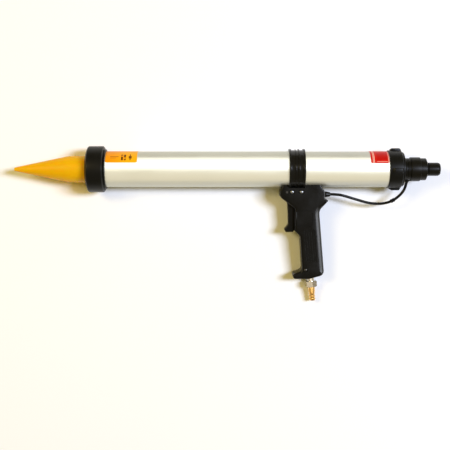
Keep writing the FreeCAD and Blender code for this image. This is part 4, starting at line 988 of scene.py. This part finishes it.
def make_label(name, start, end, wrap, node, material):
    """A film label on top of the barrel with softened corners; its UV map runs along and round the barrel.

    It goes from X start to X end and wrap degrees round the barrel.
    """
    shape = bmesh.new()
    uv = shape.loops.layers.uv.new("film")
    low, high, corner = TUBE + 0.02, TUBE + 0.22, 2.0
    half = math.radians(wrap / 2)
    reach = half * high
    rows, columns = 72, 24

    def inset_at(share):
        beside = max(0.0, abs(share * 2 - 1) * reach - (reach - corner))
        return corner - math.sqrt(max(0.0, corner ** 2 - beside ** 2))

    def new_row(radius, share):
        inset = inset_at(share)
        angle = half * (share * 2 - 1)
        y, z = radius * math.cos(angle), radius * math.sin(angle)
        step = (end - start - 2 * inset) / columns
        return [shape.verts.new((start + inset + step * column, y, z)) for column in range(columns + 1)]

    under, over = [[new_row(radius, row / rows) for row in range(rows + 1)] for radius in (low, high)]
    for row in range(rows):
        after = row + 1
        for left in range(columns):
            right = left + 1
            shape.faces.new([over[row][left], over[row][right], over[after][right], over[after][left]])
            shape.faces.new([under[row][left], under[after][left], under[after][right], under[row][right]])
        for edge in (0, columns):
            shape.faces.new([over[row][edge], over[after][edge], under[after][edge], under[row][edge]])
    for edge in (0, rows):
        for left in range(columns):
            right = left + 1
            shape.faces.new([over[edge][left], over[edge][right], under[edge][right], under[edge][left]])
    bmesh.ops.recalc_face_normals(shape, faces=shape.faces)
    for face in shape.faces:
        for loop in face.loops:
            x, y, z = loop.vert.co
            loop[uv].uv = ((x - start) / (end - start), math.atan2(z, y) / (2 * half) + 0.5)
    finish(name, shape, material, [node])


def printed_film(name, grounds, prints):
    """Printed film: one tint fades into another along it, with plain blocks printed on both its sides.

    prints lists (from, to, crest, foot, tint): from and to are shares of the label's length, crest and foot
    shares of its width, counted from its middle line down either side.
    """
    made, tree, shader = new_material(name, {"Roughness": 0.4, "Specular IOR Level": 0.2})
    place = add(tree, "ShaderNodeTexCoord").outputs["UV"]
    split = add(tree, "ShaderNodeSeparateXYZ", {0: place}).outputs
    fall = maths(tree, "ABSOLUTE", maths(tree, "SUBTRACT", split["Y"], 0.5))
    fade = add(tree, "ShaderNodeMapRange", {"Value": split["X"], "From Min": 0.2, "From Max": 0.7}).outputs[0]
    tint = blend(tree, fade, *map(linear, grounds))
    for left, right, crest, foot, ink in prints:
        across = maths(tree, "COMPARE", split["X"], (left + right) / 2, (right - left) / 2)
        down = maths(tree, "COMPARE", fall, (crest + foot) / 2, (foot - crest) / 2)
        tint = blend(tree, maths(tree, "MULTIPLY", across, down), tint, linear(ink))
    tree.links.new(tint, shader.inputs["Base Color"])
    return made


YELLOW_PRINT = [
    (0.5, 0.56, 0.26, 0.44, "#5A3206"), (0.59, 0.65, 0.26, 0.44, "#5A3206"),
    (0.51, 0.55, 0.29, 0.34, "#F29A10"), (0.6, 0.64, 0.35, 0.41, "#F29A10"),
    (0.74, 0.83, 0.31, 0.39, "#6A3C08"), (0.77, 0.8, 0.25, 0.44, "#7A480C"),
    (0.16, 0.42, 0.325, 0.345, "#A05E0C"), (0.16, 0.34, 0.37, 0.385, "#C27A12"),
]
RED_PRINT = [
    (0.1, 0.15, 0, 0.5, "#E8A090"), (0.17, 0.2, 0, 0.5, "#F0C4B4"), (0.32, 0.9, 0.18, 0.42, "#B80A04"),
    (0.94, 0.97, 0, 0.5, "#E8B0A0"), (0.32, 0.9, 0.455, 0.47, "#E89A88"),
]


# -------------------- the rest of the frame

# The CAD nodes that no piece stands for, by finish.
KEPT = {
    "white_acetal": ["piston", "feed_pipe", "delivery_pipe"],
    "nitrile_rubber": ["piston_seal", "rear_cap_seal", "valve_washer", "regulator_diaphragm"],
    "zinc_steel": ["clamp_nuts"],
    "oiled_steel": ["trigger_pin"],
    "spring_steel": ["valve_stem"],
    "turned_brass": ["valve_body", "regulator_valve", "regulator_spring_stop", "regulator_spring_seat"],
    "anodised_aluminium": ["valve_plug"],
}


def dress_frame(looks):
    """The CAD nodes that stay get their finishes."""
    for look, nodes in KEPT.items():
        for node in nodes:
            mesh = frame["nodes"][node].data
            mesh.materials.clear()
            mesh.materials.append(looks[look])


def lay_floor():
    """A plain pale bench top, six metres wide."""
    made, _, shader = new_material("bench", {"Roughness": 0.9, "Specular IOR Level": 0.1})
    shader.inputs["Base Color"].default_value = linear("#F5F7FB")
    mesh = bpy.data.meshes.new("bench")
    far = 3
    corners = [(-far, -far, 0), (far, -far, 0), (far, far, 0), (-far, far, 0)]
    mesh.from_pydata(corners, [], [(0, 1, 2, 3)])
    mesh.materials.append(made)
    bench = bpy.data.objects.new("bench", mesh)
    SCENE.collection.objects.link(bench)


def main():
    SCENE.view_settings.view_transform = "Standard"
    place_camera()
    looks = make_materials()
    make_hose(looks)
    light_world()
    # each lamp: where it stands from the gun, how far, its size, power and tint
    softbox("key", (0.56, 0.08, 0.82), 4.0, (0.75, 1.5), 176, "#DFE8FF")
    softbox("fill", (-0.6, 0.22, 0.75), 2.4, (0.7, 0.9), 22, "#FFE8AA")
    barrel = make_barrel(looks)
    reflector("top_card", (0, 0.59, 0.81), 1.5, (3.0, 2.5), 56, "#FFFFFF", [barrel])
    reflector("low_card", (0, -0.78, 0.63), 1.5, (3.0, 2.3), 25, "#FFF7E8", [barrel])
    make_collar(looks)
    make_ring(looks)
    make_nozzle(looks)
    make_rear_cap(looks)
    make_clamp(looks)
    shells = [make_shell(left, looks) for left in (True, False)]
    reflector("side_card", (0.84, 0, 0.54), 1.5, (1.1, 1.4), 50, "#F4F8FF", shells)
    make_trigger(looks)
    make_screws(looks)
    inlet = make_inlet(looks)
    reflector("nut_card", (-0.2, -0.32, 1), 1.5, (2.5, 1.0), 8.5, "#FFF6EC", inlet)
    make_hose_ends(looks)
    make_regulator(looks)
    make_springs(looks)
    yellow = printed_film("printed_yellow_film", ("#F0980A", "#F4AE10"), YELLOW_PRINT)
    red = printed_film("printed_red_film", ("#C8140C", "#CC1A10"), RED_PRINT)
    make_label("front_film", 20, 65, 130, "front_label", yellow)
    make_label("rear_film", LENGTH - 41, LENGTH - 15, 134, "rear_label", red)
    dress_frame(looks)
    lay_floor()


main()
